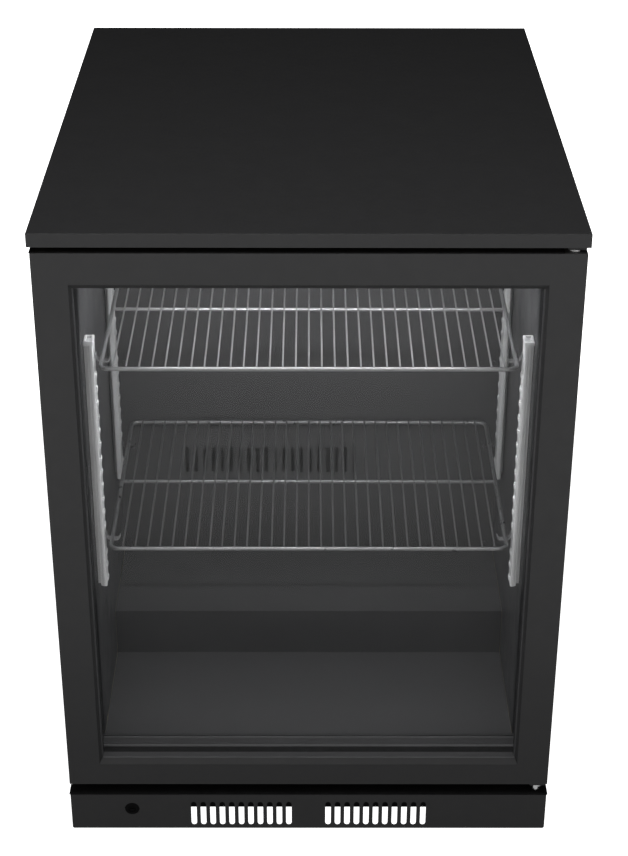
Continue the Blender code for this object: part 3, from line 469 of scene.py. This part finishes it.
CAD_LOOKS = {
    powder: ["worktop_cover", "side_panel_left", "side_panel_right", "plinth", "hinge_bracket_top",
             "hinge_bracket_bottom"],
    # The base plate's near-black colour is partly painted shade.
    underside_painted_shade: ["base_plate"],
    door_coat: ["door_skin"],
    liner: ["liner_left", "liner_right", "liner_floor", "liner_ceiling", "liner_back", "evaporator_cover"],
    plastic: ["breaker_frame", "thermostat_knob", "cable_gland"],
    door_lining: ["door_inner_frame"],
    rubber: ["glazing_seal", "door_seal", "foot_front_left", "foot_front_right", "foot_rear_left",
             "foot_rear_right"],
    foam: ["insulation_walls", "insulation_back", "insulation_floor"],
    board: ["worktop_board"],
    # The top hinge pin's white colour is a painted highlight.
    pin_painted_glint: ["hinge_pin_top"],
    steel_pin: ["hinge_pin_bottom"],
    galvanised_sheet: ["partition_panel", "condenser_shroud", "evaporator_fan_motor",
                       "condenser_fan_motor", "rear_grille"],
    coated_fins: ["evaporator_coil"],
    spacer_metal: ["spacer_bar"],
    outer_glass: ["glass_outer"],
    inner_glass: ["glass_inner"],
    diffuser: ["light_bar"],
    enamel: ["compressor"],
    lock_finish: ["lock_barrel", "lock_plug"],
}
for look, names in CAD_LOOKS.items():
    for name in names:
        mesh = NODES[name].data
        mesh.materials.clear()
        mesh.materials.append(look)


# ---------------------------------------------------------------- shelves

RAIL_R = 0.0025
CROSS_R = 0.0021
WIRE_R = 0.00105
WIRE_COUNT = 31
SHELF_CORNER = 0.010


def rounded_loop(half, front, back, r, z, steps=8):
    """Level loop of points with round corners."""
    out = []
    corners = [(-half + r, front + r, 180), (half - r, front + r, 270), (half - r, back - r, 0),
               (-half + r, back - r, 90)]
    for x, y, start in corners:
        for i in range(steps + 1):
            t = math.radians(start + 90 * i / steps)
            out.append((x + r * math.cos(t), y + r * math.sin(t), z))
    return out


def make_shelf(node):
    """Bent rail and cross rail, with thin wires, each pinched a little where it is welded on."""
    # The lower shelf takes the darker chrome copies: painted shade.
    rail_look, wire_look = (rail_chrome, chrome) if node == "shelf_top" else (rail_painted_shade, wire_painted_shade)
    low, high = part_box(node)
    half = high.x - RAIL_R
    front, back = low.y + RAIL_R, high.y - RAIL_R
    z = low.z + RAIL_R
    middle = front + (back - front) * 0.503
    bm = bmesh.new()
    add_tube(bm, rounded_loop(half, front, back, SHELF_CORNER, z), RAIL_R, 12, closed=True)
    add_tube(bm, [(-half, middle, z), (half, middle, z)], CROSS_R, 12)
    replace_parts(finish_mesh(f"{node}_rails", bm, rail_look, node), node)
    bm = bmesh.new()
    pitch = 2 * half / (WIRE_COUNT + 1)
    top = z + RAIL_R + WIRE_R * 0.45
    rest = z + CROSS_R + WIRE_R * 0.5
    for i in range(WIRE_COUNT):
        x = pitch * (i - (WIRE_COUNT - 1) / 2)
        path = [(x, front - 0.0004, top - 0.0002), (x, front + 0.006, top), (x, middle - 0.03, rest + 0.0001),
                (x, middle, rest), (x, middle + 0.03, rest + 0.0001), (x, back - 0.006, top),
                (x, back + 0.0004, top - 0.0002)]
        add_tube(bm, path, WIRE_R, 8)
    finish_mesh(f"{node}_wires", bm, wire_look, node)


for shelf in ("shelf_top", "shelf_lower"):
    make_shelf(shelf)


# ---------------------------------------------------------------- posts and clips

POST_T = 0.0012
POST_CAP = 0.0045
POST_SINK = 0.0040
CAP_OVERHANG = 0.0006
POST_FLANGE = {"front": 0.0030, "rear": 0.0014}
POST_SET_BACK = 0.0070
POST_RAISE = {"front": 0.0050, "rear": 0.0}
TOOTH_OUT = 0.0021
TOOTH_COUNT = 17
TOOTH_FIRST = cad_low[2] + 0.309
TOOTH_PITCH = 0.0186


def make_post(node):
    """Rolled post with pressed teeth, a flange along its wall side and a cap on its head.

    The front posts are open channels with the flange set back a little. The rear posts have it at
    their far side.
    """
    low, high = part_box(node)
    side = 1 if low.x > 0 else -1
    wall = high.x if side > 0 else -low.x
    tip = low.x if side > 0 else -high.x
    face = tip + TOOTH_OUT
    place = node.split("_")[1]
    near, far = low.y, high.y
    foot = low.z + POST_RAISE[place]
    r = 0.0015
    head = high.z - POST_SINK - POST_CAP
    quarter = [math.radians(90 * i / 5) for i in range(6)]
    flange, soft = wall - POST_FLANGE[place], 0.0024
    shoulder = [(flange - soft * math.sin(t), near + soft - soft * math.cos(t)) for t in quarter[::-1]]
    shoulder = [(2 * (flange - soft) - x, y) for x, y in shoulder]
    set_back = near + POST_SET_BACK if place == "front" else far - POST_T
    outer = [(wall, set_back), (flange, set_back)] + shoulder
    outer += [(face + r - r * math.sin(t), near + r - r * math.cos(t)) for t in quarter]
    outer += [(face + r - r * math.cos(t), far - r + r * math.sin(t)) for t in quarter]
    outer += [(wall, far)]
    inner = []
    if place == "front":
        inner = [(wall, far - POST_T), (face + POST_T, far - POST_T), (face + POST_T, near + POST_T),
                 (flange - POST_T, near + POST_T), (flange - POST_T, set_back + POST_T),
                 (wall, set_back + POST_T)]
    section = [(side * x, y) for x, y in outer + inner]
    bm = bmesh.new()
    bottom = [bm.verts.new((x, y, foot)) for x, y in section]
    top = [bm.verts.new((x, y, head)) for x, y in section]
    count = len(section)
    for k in range(count):
        j = (k + 1) % count
        bm.faces.new((bottom[k], bottom[j], top[j], top[k]))
    bm.faces.new(bottom[::-1])
    bm.faces.new(top)
    centre = (near + far) / 2
    for i in range(TOOTH_COUNT):
        z = TOOTH_FIRST + TOOTH_PITCH * i
        if z < foot + 0.005 or any(abs(z - level) < 0.009 for level in CLIP_LEVELS):
            continue
        add_tooth(bm, side, face, centre, z)
    inner_corner = (side * (face - CAP_OVERHANG), near, head - 0.0003)
    add_cap(bm, *ordered(inner_corner, (side * wall, far, high.z - POST_SINK)))
    # Rear posts take the darker zinc copy: painted shade.
    look = zinc if place == "front" else zinc_painted_shade
    made = finish_mesh(f"{node}_rolled", bm, look, "cabinet", angle=32)
    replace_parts(made, node)


def add_cap(bm, low, high):
    """A rounded lid with a shallow dished middle."""
    lid = bmesh.new()
    add_block(lid, low, high)
    rim = [e for e in lid.edges if not all(v.co.z < high[2] - 1e-5 for v in e.verts)]
    bmesh.ops.bevel(lid, geom=rim, offset=0.0011, segments=3, profile=0.5, affect="EDGES")
    upper = max(lid.faces, key=lambda f: f.calc_center_median().z * 1000 + f.calc_area())
    bmesh.ops.inset_region(lid, faces=[upper], thickness=0.0026)
    bmesh.ops.inset_region(lid, faces=[upper], thickness=0.0004, depth=-0.0030)
    mesh = bpy.data.meshes.new("lid_part")
    lid.to_mesh(mesh)
    lid.free()
    bm.from_mesh(mesh)
    bpy.data.meshes.remove(mesh)


def ordered(a, b):
    """The lowest and highest corners of two points."""
    return tuple(map(min, a, b)), tuple(map(max, a, b))


def add_tooth(bm, side, face, centre, z):
    """One pressed louvre: a rounded lip that stands out of the face, with closed ends."""
    rows = []
    half_w, high, out = 0.0052, 0.0082, TOOTH_OUT
    profile = [(0.0002, -high / 2), (out * 0.55, -high * 0.40), (out * 0.92, -high * 0.20),
               (out, high * 0.06), (out * 0.90, high * 0.26), (out * 0.50, high * 0.38),
               (-0.0003, high * 0.42)]
    for i in range(7):
        t = -1 + 2 * i / 6
        swell = math.sqrt(max(0.0, 1 - t ** 4))
        rows.append([bm.verts.new((side * (face - max(b, 0.0) * swell + 0.0002), centre + half_w * t, z + h))
                     for b, h in profile])
    for near, far in zip(rows, rows[1:]):
        for k in range(len(profile) - 1):
            bm.faces.new((near[k], near[k + 1], far[k + 1], far[k]))


def make_clip(node):
    """Bent spring clip: hook over the post's tooth, arm under the rail, turned-up tip."""
    low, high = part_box(node)
    side = 1 if low.x > 0 else -1
    face = (high.x if side > 0 else -low.x)
    tip = (low.x if side > 0 else -high.x)
    middle = (low.y + high.y) / 2
    t = 0.0012
    base = low.z + t / 2 + 0.00005
    root = face - 0.0010
    points = [(root, high.z - 0.0004), (root, base + 0.0052), (root - 0.0028, base + 0.0008),
              (root - 0.0070, base), (tip + 0.0030, base), (tip + 0.0007, base + 0.0052)]
    path = rounded_path([(side * x, middle, z) for x, z in points], 0.0022, 4)
    bm = bmesh.new()
    add_ribbon(bm, path, (0, 1, 0), high.y - low.y, t)
    # Rear clips take the darker spring steel copy: painted shade.
    look = clip_steel if "front" in node else clip_steel_painted_shade
    made = finish_mesh(f"{node}_spring", bm, look, "cabinet", angle=50)
    edge = made.modifiers.new("edges", "BEVEL")
    edge.width = 0.00025
    edge.segments = 2
    edge.limit_method = "ANGLE"
    edge.angle_limit = math.radians(50)
    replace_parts(made, node)


CLIP_LEVELS = sorted({round((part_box(f"clip_{level}_front_left")[0].z + 0.0066), 5)
                      for level in ("top", "lower")})
for place in ("front", "rear"):
    for hand in ("left", "right"):
        make_post(f"post_{place}_{hand}")
        for level in ("top", "lower"):
            make_clip(f"clip_{level}_{place}_{hand}")


# ---------------------------------------------------------------- fans, coils, pipes

def make_fan(node, body, blades, look):
    """Moulded fan: domed hub and swept blades with real thickness and camber."""
    low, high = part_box(node)
    axis = next(j for j in frame["joints"] if j["child"] == body)["pos_m"]
    centre = Vector((axis[0], low.y, axis[2]))
    length = high.y - low.y
    radius = min(high.z - axis[2], high.x - axis[0]) - 0.0005
    hub = radius * 0.34
    bm = bmesh.new()
    add_lathe(bm, [(0, 0.0006), (hub * 0.55, 0.0008), (hub * 0.85, 0.0022), (hub, 0.005),
                   (hub, length - 0.001), (hub - 0.0012, length), (0, length)], centre, "Y", 40)
    for b in range(blades):
        start = math.tau * b / blades
        front_rows, back_rows = [], []
        for i in range(9):
            s = i / 8
            r = hub * 0.92 + (radius - hub * 0.92) * s
            wide = 0.40 + 0.16 * math.sin(math.pi * min(1.0, s * 0.9))
            sweep = 0.38 * s * s
            front_row, back_row = [], []
            for k in range(7):
                u = k / 6 * 2 - 1
                round_tip = (1 - 0.10 * (u * u) * s)
                a = start + sweep + u * wide * (0.95 if s < 0.95 else 0.86)
                camber = 0.10 * length * (1 - u * u)
                y = length * (0.5 + 0.36 * u * (1 - 0.35 * s)) - camber
                rr = r * round_tip if i == 8 else r
                x, z = rr * math.cos(a), rr * math.sin(a)
                front_row.append(bm.verts.new(centre + Vector((x, y - 0.0006, z))))
                back_row.append(bm.verts.new(centre + Vector((x, y + 0.0006, z))))
            front_rows.append(front_row)
            back_rows.append(back_row)
        skin_blade(bm, front_rows, back_rows)
    made = finish_mesh(f"{node}_moulded", bm, look, body, angle=50)
    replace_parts(made, node)


def skin_blade(bm, front_rows, back_rows):
    """Close two grids of the same size into one thin blade."""
    rows, columns = len(front_rows), len(front_rows[0])
    for i in range(rows - 1):
        for k in range(columns - 1):
            near, far = front_rows[i], front_rows[i + 1]
            bm.faces.new((near[k], near[k + 1], far[k + 1], far[k]))
            near, far = back_rows[i], back_rows[i + 1]
            bm.faces.new((near[k], far[k], far[k + 1], near[k + 1]))
    rim = [(i, 0) for i in range(rows)] + [(rows - 1, k) for k in range(1, columns)]
    rim += [(i, columns - 1) for i in range(rows - 2, -1, -1)] + [(0, k) for k in range(columns - 2, 0, -1)]
    for (i, k), (m, n) in zip(rim, rim[1:] + rim[:1]):
        bm.faces.new((front_rows[i][k], front_rows[m][n], back_rows[m][n], back_rows[i][k]))


make_fan("evaporator_fan", "evaporator_fan", 5, plastic)
make_fan("condenser_fan", "condenser_fan", 5, plastic)


GUARD_REACH = 0.080


def make_fan_guard():
    """Wire guard over the fan opening in the evaporator cover."""
    cover_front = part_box("evaporator_cover")[0].y
    joint = next(j for j in frame["joints"] if j["child"] == "evaporator_fan")["pos_m"]
    x0, z0 = joint[0], joint[2]
    y = cover_front - 0.0035
    bm = bmesh.new()
    for r in (0.014, 0.023, 0.032, 0.041, 0.050, 0.059, 0.068):
        ring = [(x0 + r * math.cos(math.tau * k / 64), y, z0 + r * math.sin(math.tau * k / 64))
                for k in range(64)]
        add_tube(bm, ring, 0.0008, 8, closed=True)
    for k in range(4):
        a = math.tau * (k + 0.5) / 4
        c, s = math.cos(a), math.sin(a)
        reach = ((0.010, y + 0.0014), (0.068, y + 0.0014), (0.074, cover_front - 0.0012),
                 (GUARD_REACH, cover_front - 0.0012))
        path = [(x0 + r * c, yy, z0 + r * s) for r, yy in reach]
        add_tube(bm, rounded_path(path, 0.003), 0.0011, 8)
    finish_mesh("evaporator_fan_guard", bm, chrome, "cabinet")
    bm = bmesh.new()
    for k in range(4):
        a = math.tau * (k + 0.5) / 4
        place = (x0 + GUARD_REACH * math.cos(a), cover_front - 0.0002, z0 + GUARD_REACH * math.sin(a))
        add_screw(bm, place, "-Y", 0.0035)
    finish_mesh("evaporator_fan_guard_screws", bm, steel_pin, "cabinet")


make_fan_guard()


def make_condenser():
    """Fine fins on a serpentine copper tube, in place of the CAD comb."""
    low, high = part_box("condenser_coil")
    bm = bmesh.new()
    x0, x1 = low.x + 0.004, high.x - 0.004
    count = 62
    for i in range(count):
        x = x0 + (x1 - x0) * i / (count - 1)
        add_block(bm, (x - 0.00015, low.y + 0.001, low.z), (x + 0.00015, high.y - 0.001, high.z))
    for x in (low.x, high.x - 0.0012):
        add_block(bm, (x, low.y, low.z), (x + 0.0012, high.y, high.z), 0.0003)
    made = finish_mesh("condenser_fins", bm, fins, "cabinet", smooth=False)
    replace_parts(made, "condenser_coil")
    bm = bmesh.new()
    z = low.z + 0.014
    for y in (low.y + 0.011, high.y - 0.011):
        path = []
        level, way = z, 1
        while level < high.z - 0.008:
            ends = (low.x + 0.002, high.x - 0.002)
            path += [(ends[0] if way > 0 else ends[1], y, level), (ends[1] if way > 0 else ends[0], y, level)]
            level += 0.026
            way = -way
        add_tube(bm, path, 0.0035, 10)
    finish_mesh("condenser_tube", bm, copper, "cabinet")


make_condenser()


def make_pipes():
    """Copper lines between the compressor, the condenser and the insulated wall."""
    low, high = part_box("compressor")
    coil_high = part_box("condenser_coil")[1]
    outlet = (coil_high.x - 0.012, at(0.688))
    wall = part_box("partition_panel")[1].y + 0.002
    top = Vector(((low.x + high.x) / 2 - 0.045, (low.y + high.y) / 2 + 0.02, high.z - 0.045))
    bm = bmesh.new()
    discharge = [top, top + Vector((0, 0, 0.075)), (coil_high.x + 0.020, at(0.672), 0.275),
                 (*outlet, 0.275), (*outlet, coil_high.z - 0.01)]
    add_tube(bm, rounded_path(discharge, 0.018, 6), 0.003, 12)
    suction = [top + Vector((0.030, -0.055, -0.01)), top + Vector((0.030, -0.055, 0.100)),
               (0.060, wall + 0.010, 0.330), (0.060, wall + 0.010, 0.520), (0.060, wall - 0.003, 0.520)]
    add_tube(bm, rounded_path(suction, 0.020, 6), 0.004, 12)
    finish_mesh("refrigerant_pipes", bm, copper, "cabinet")


make_pipes()


# ---------------------------------------------------------------- small fittings

def make_fasteners():
    """Screws on the rear cover, the hinge legs and the evaporator cover, and the light bar's end caps."""
    bm = bmesh.new()
    grille_low, grille_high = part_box("rear_grille")
    y = grille_high.y - 0.0001
    for x in (grille_low.x + 0.010, 0.0, grille_high.x - 0.010):
        for z in (grille_low.z + 0.008, 0.300, 0.540, grille_high.z - 0.010):
            add_screw(bm, (x, y, z), "+Y", 0.0038)
    finish_mesh("rear_cover_screws", bm, steel_pin, "cabinet")
    bm = bmesh.new()
    for node in ("hinge_bracket_top", "hinge_bracket_bottom"):
        low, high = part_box(node)
        x = (low.x + high.x) / 2
        middle = (low.z + high.z) / 2
        for z in (middle - 0.008, middle + 0.010):
            add_screw(bm, (x, at(0.0553), z), "-Y", 0.0032)
    finish_mesh("hinge_screws", bm, steel_pin, "cabinet")
    bm = bmesh.new()
    cover_low, cover_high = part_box("evaporator_cover")
    for x in (cover_low.x + 0.012, cover_high.x - 0.012):
        for z in (cover_low.z + 0.015, 0.455, cover_high.z - 0.020):
            add_screw(bm, (x, cover_low.y + 0.0001, z), "-Y", 0.0032)
    finish_mesh("evaporator_cover_screws", bm, liner, "cabinet")
    bm = bmesh.new()
    low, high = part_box("light_bar")
    for x0, x1 in ((low.x - 0.006, low.x + 0.003), (high.x - 0.003, high.x + 0.006)):
        add_block(bm, (x0, low.y - 0.001, low.z - 0.0008), (x1, high.y + 0.001, high.z), 0.0012)
    finish_mesh("light_bar_caps", bm, plastic, "cabinet")


make_fasteners()


def make_ring(name, rings, look, body):
    """A mitred rectangular frame. Its section is a closed loop of (half width, low, high, depth)."""
    bm = bmesh.new()
    loops = [[bm.verts.new((side * half, at(depth), z)) for side, z in
              ((-1, low), (1, low), (1, high), (-1, high))] for half, low, high, depth in rings]
    for near, far in zip(loops, loops[1:] + loops[:1]):
        for i in range(4):
            j = (i + 1) % 4
            bm.faces.new((near[i], near[j], far[j], far[i]))
    return finish_mesh(name, bm, look, body, smooth=False)


PANE_HIDDEN = 0.010
BEAD_START = 0.0056
BEAD_T = 0.0007
BEAD_TUCK = 0.00005
# Placement of the lighter strips that paint the glass edge glint.
GLINT_STRIP_LIFT = 0.0013
GLINT_STRIP_SIDE = 0.0024
GLINT_STRIP_W = 0.004


def make_glazing_trim():
    """Lighter grey lining of the door's reveal, painted light where light falls on the reveal, and lighter
    grey strips along the panes' edges, a painted highlight for the glass edges' glint.
    """
    pane_low, pane_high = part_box("glass_outer")
    half, low, high = pane_high.x - PANE_HIDDEN, pane_low.z + PANE_HIDDEN, pane_high.z - PANE_HIDDEN

    def inside(amount, depth):
        return half - amount, low + amount, high - amount, depth

    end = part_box("glazing_seal")[0].y - FRONT - 0.0002
    # The bead's lighter grey stands in for light falling on the reveal: painted light.
    make_ring("glazing_bead_painted_light", [
        inside(-BEAD_TUCK, BEAD_START), inside(-BEAD_TUCK, end), inside(BEAD_T, end),
        inside(BEAD_T, BEAD_START + 0.0006), inside(BEAD_T * 0.4, BEAD_START)], door_lining, "door")
    inner = (half + GLINT_STRIP_SIDE, low + GLINT_STRIP_LIFT, high - GLINT_STRIP_LIFT)
    outer = (inner[0] + GLINT_STRIP_W, inner[1] - GLINT_STRIP_W, inner[2] + GLINT_STRIP_W)
    for name, node in (("outer_edge_painted_glint", "glass_outer"), ("inner_edge_painted_glint", "glass_inner")):
        near, far = (corner.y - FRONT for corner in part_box(node))
        near, far = near + 0.0003, far - 0.0003
        make_ring(name, [(*inner, near), (*outer, near), (*outer, far), (*inner, far)], edge_painted_glint, "door")


make_glazing_trim()


# Thickness of the painted shade strips.
SHADE_STRIP_T = 0.0004


def make_painted_shade_strips():
    """Near-black strips along the door's top edge and along the plinth's top flange: painted shade on faces
    that the worktop and the door leave in shadow.
    """
    for name, node, body, half, depths in (
            ("door_top_painted_shade", "door_skin", "door", (-0.2980, 0.2725), (0.0007, 0.040)),
            ("plinth_top_painted_shade", "plinth", "cabinet", (-0.2985, 0.2985), (0.0007, 0.0205))):
        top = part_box(node)[1].z
        bm = bmesh.new()
        add_block(bm, (half[0], at(depths[0]), top), (half[1], at(depths[1]), top + SHADE_STRIP_T), SHADE_STRIP_T * 0.4)
        finish_mesh(name, bm, painted_shade_strip, body)


make_painted_shade_strips()


def make_lock_ring():
    """Raised near-black ring round the lock's face: painted shadow round its plug."""
    joint = next(j for j in frame["joints"] if j["child"] == "lock_plug")["pos_m"]
    bm = bmesh.new()
    add_lathe(bm, [(0.0057, 0.0006), (0.0060, 0.0001), (0.0086, 0.0001), (0.0089, 0.0006), (0.0089, 0.0012),
                   (0.0057, 0.0012), (0.0057, 0.0006)], (joint[0], FRONT, joint[2]), "Y", 48)
    finish_mesh("lock_painted_shadow_ring", bm, lock_finish, "cabinet")


make_lock_ring()


# ---------------------------------------------------------------- stage, lights, camera

def make_stage():
    """Pale floor and backdrop that light nothing, and a soft ring of bounced light on the floor."""
    made, tree, shader = new_material("pale_floor")
    coords = coordinates(tree)
    drift = noise(tree, coords, 1.5, 3.0)
    tree.links.new(mix_colour(tree, spread(tree, drift, 0, 1), (0.80, 0.80, 0.80), (0.82, 0.82, 0.82)),
                   shader.inputs["Base Color"])
    shader.inputs["Roughness"].default_value = 0.9
    shader.inputs["Specular IOR Level"].default_value = 0.1
    shader.inputs["Emission Color"].default_value = (1, 1, 1, 1)
    shader.inputs["Emission Strength"].default_value = FLOOR_GLOW
    size = FLOOR_REACH
    corners = [(-size, -size), (size, -size), (size, size), (-size, size)]
    floor = stage_piece("floor", [(x, y, z) for z in (0.0, BACKDROP_HIGH) for x, y in corners],
                        [(0, 1, 2, 3)] + [(i, i + 4, (i + 1) % 4 + 4, (i + 1) % 4) for i in range(4)], made)
    floor.visible_diffuse = False
    floor.visible_glossy = False
    glow, tree, shader = new_material("bounced_light")
    shader.inputs["Base Color"].default_value = (0, 0, 0, 1)
    shader.inputs["Specular IOR Level"].default_value = 0.0
    shader.inputs["Emission Color"].default_value = (1, 1, 1, 1)
    away = add_node(tree, "ShaderNodeVectorMath", {0: coordinates(tree)}, operation="LENGTH").outputs["Value"]
    rise = spread(tree, away, 0.0, BOUNCE_SWELL, (0.90, SWELL_PEAK))
    fall = spread(tree, away, 1.0, 0.0, (SWELL_PEAK, 1.36))
    swell = add_node(tree, "ShaderNodeMath", {0: rise, 1: fall}, operation="MULTIPLY").outputs[0]
    level = spread(tree, away, BOUNCE_NEAR, BOUNCE_FAR, (0.8, 1.6))
    glow_level = add_node(tree, "ShaderNodeMath", {0: swell, 1: level}, operation="ADD").outputs[0]
    tree.links.new(glow_level, shader.inputs["Emission Strength"])
    half_x, half_y = cad_high[0] + RING_GAP, cad_high[1] + RING_GAP
    foot = [(-half_x, -half_y), (half_x, -half_y), (half_x, half_y), (-half_x, half_y)]
    reach = [(-RING_REACH, -RING_REACH), (RING_REACH, -RING_REACH), (RING_REACH, RING_REACH),
             (-RING_REACH, RING_REACH)]
    faces = [(i, i + 4, (i + 1) % 4 + 4, (i + 1) % 4) for i in range(4)]
    ring = stage_piece("bounce_ring", [(x, y, BOUNCE_LIFT) for x, y in foot + reach], faces, glow)
    ring.visible_camera = False
    foot_glow, _, shader = new_material("foot_light")
    shader.inputs["Base Color"].default_value = (0, 0, 0, 1)
    shader.inputs["Specular IOR Level"].default_value = 0.0
    shader.inputs["Emission Color"].default_value = (1, 1, 1, 1)
    shader.inputs["Emission Strength"].default_value = BOUNCE_FOOT
    patch = stage_piece("bounce_foot", [(x, y, BOUNCE_LIFT) for x, y in foot], [(0, 1, 2, 3)], foot_glow)
    patch.visible_camera = False


def stage_piece(name, corners, faces, look):
    """A thin mesh that belongs to the stage."""
    mesh = bpy.data.meshes.new(name)
    mesh.from_pydata(corners, [], faces)
    mesh.materials.append(look)
    made = bpy.data.objects.new(name, mesh)
    bpy.context.scene.collection.objects.link(made)
    return made


def add_area(name, place, target, size, power, colour=(1, 1, 1), shape="RECTANGLE", camera=False):
    """An area light aimed at a point."""
    data = bpy.data.lights.new(name, "AREA")
    data.shape = shape
    data.size, data.size_y = size
    data.energy = power
    data.color = colour
    made = bpy.data.objects.new(name, data)
    made.location = place
    made.rotation_euler = (Vector(target) - Vector(place)).to_track_quat("-Z", "Y").to_euler()
    made.visible_camera = camera
    bpy.context.scene.collection.objects.link(made)
    return made


FLOOR_GLOW = 1.0
FLOOR_REACH = 40.0
BACKDROP_HIGH = 30.0
BOUNCE_LIFT = 0.001
RING_GAP = 0.428
RING_REACH = 4.0
BOUNCE_NEAR = 0.88
BOUNCE_FAR = 1.42
BOUNCE_SWELL = 0.34
SWELL_PEAK = 1.08
BOUNCE_FOOT = 0.50
WORLD_GREY = 0.05

make_stage()
world = bpy.data.worlds.new("studio")
world.use_nodes = True
world.node_tree.nodes["Background"].inputs["Color"].default_value = (WORLD_GREY, WORLD_GREY, WORLD_GREY, 1)
bpy.context.scene.world = world

add_area("key_near", (0, at(-0.42), 1.75), (0, at(0.15), 0.60), (1.3, 0.5), 11.8)
add_area("key_top", (-0.4, -1.4, 2.9), (0, -0.1, 0.5), (2.2, 1.6), 16.0)
add_area("key_front", (0, -2.6, 1.7), (0, 0, 0.45), (1.8, 1.2), 8.5)
add_area("fill_left", (-2.2, -1.6, 1.2), (0, -0.1, 0.4), (1.4, 1.4), 13.0)
add_area("fill_right", (2.2, -1.6, 1.2), (0, -0.1, 0.4), (1.4, 1.4), 12.0)
bar_low, bar_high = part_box("light_bar")
add_area("compartment_light", (0, (bar_low.y + bar_high.y) / 2, bar_low.z - 0.002), (0, at(0.40), 0.45),
         (0.38, 0.012), 1.5, (0.97, 0.98, 1.0))
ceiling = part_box("liner_ceiling")[0].z
add_area("ceiling_glow", (0, at(0.27), ceiling - 0.003), (0, at(0.27), 0.3), (0.44, 0.24), 0.25)
add_area("lower_glow", (0, at(0.30), 0.300), (0, at(0.40), 0.200), (0.44, 0.03), 0.04)

camera_data = bpy.data.cameras.new("camera")
camera_data.sensor_fit = "AUTO"
camera_data.sensor_width = 36.0
camera_data.lens = 79.72
camera = bpy.data.objects.new("camera", camera_data)
bpy.context.scene.collection.objects.link(camera)
PITCH, YAW, ROLL = 0.50406, -0.00274, 0.00226
camera.matrix_world = (Matrix.Translation((0.0008, at(-1.850), 1.5965)) @ Matrix.Rotation(YAW, 4, "Z")
                       @ Matrix.Rotation(math.pi / 2 - PITCH, 4, "X") @ Matrix.Rotation(ROLL, 4, "Z"))
bpy.context.scene.camera = camera
bpy.context.scene.view_settings.view_transform = "Standard"
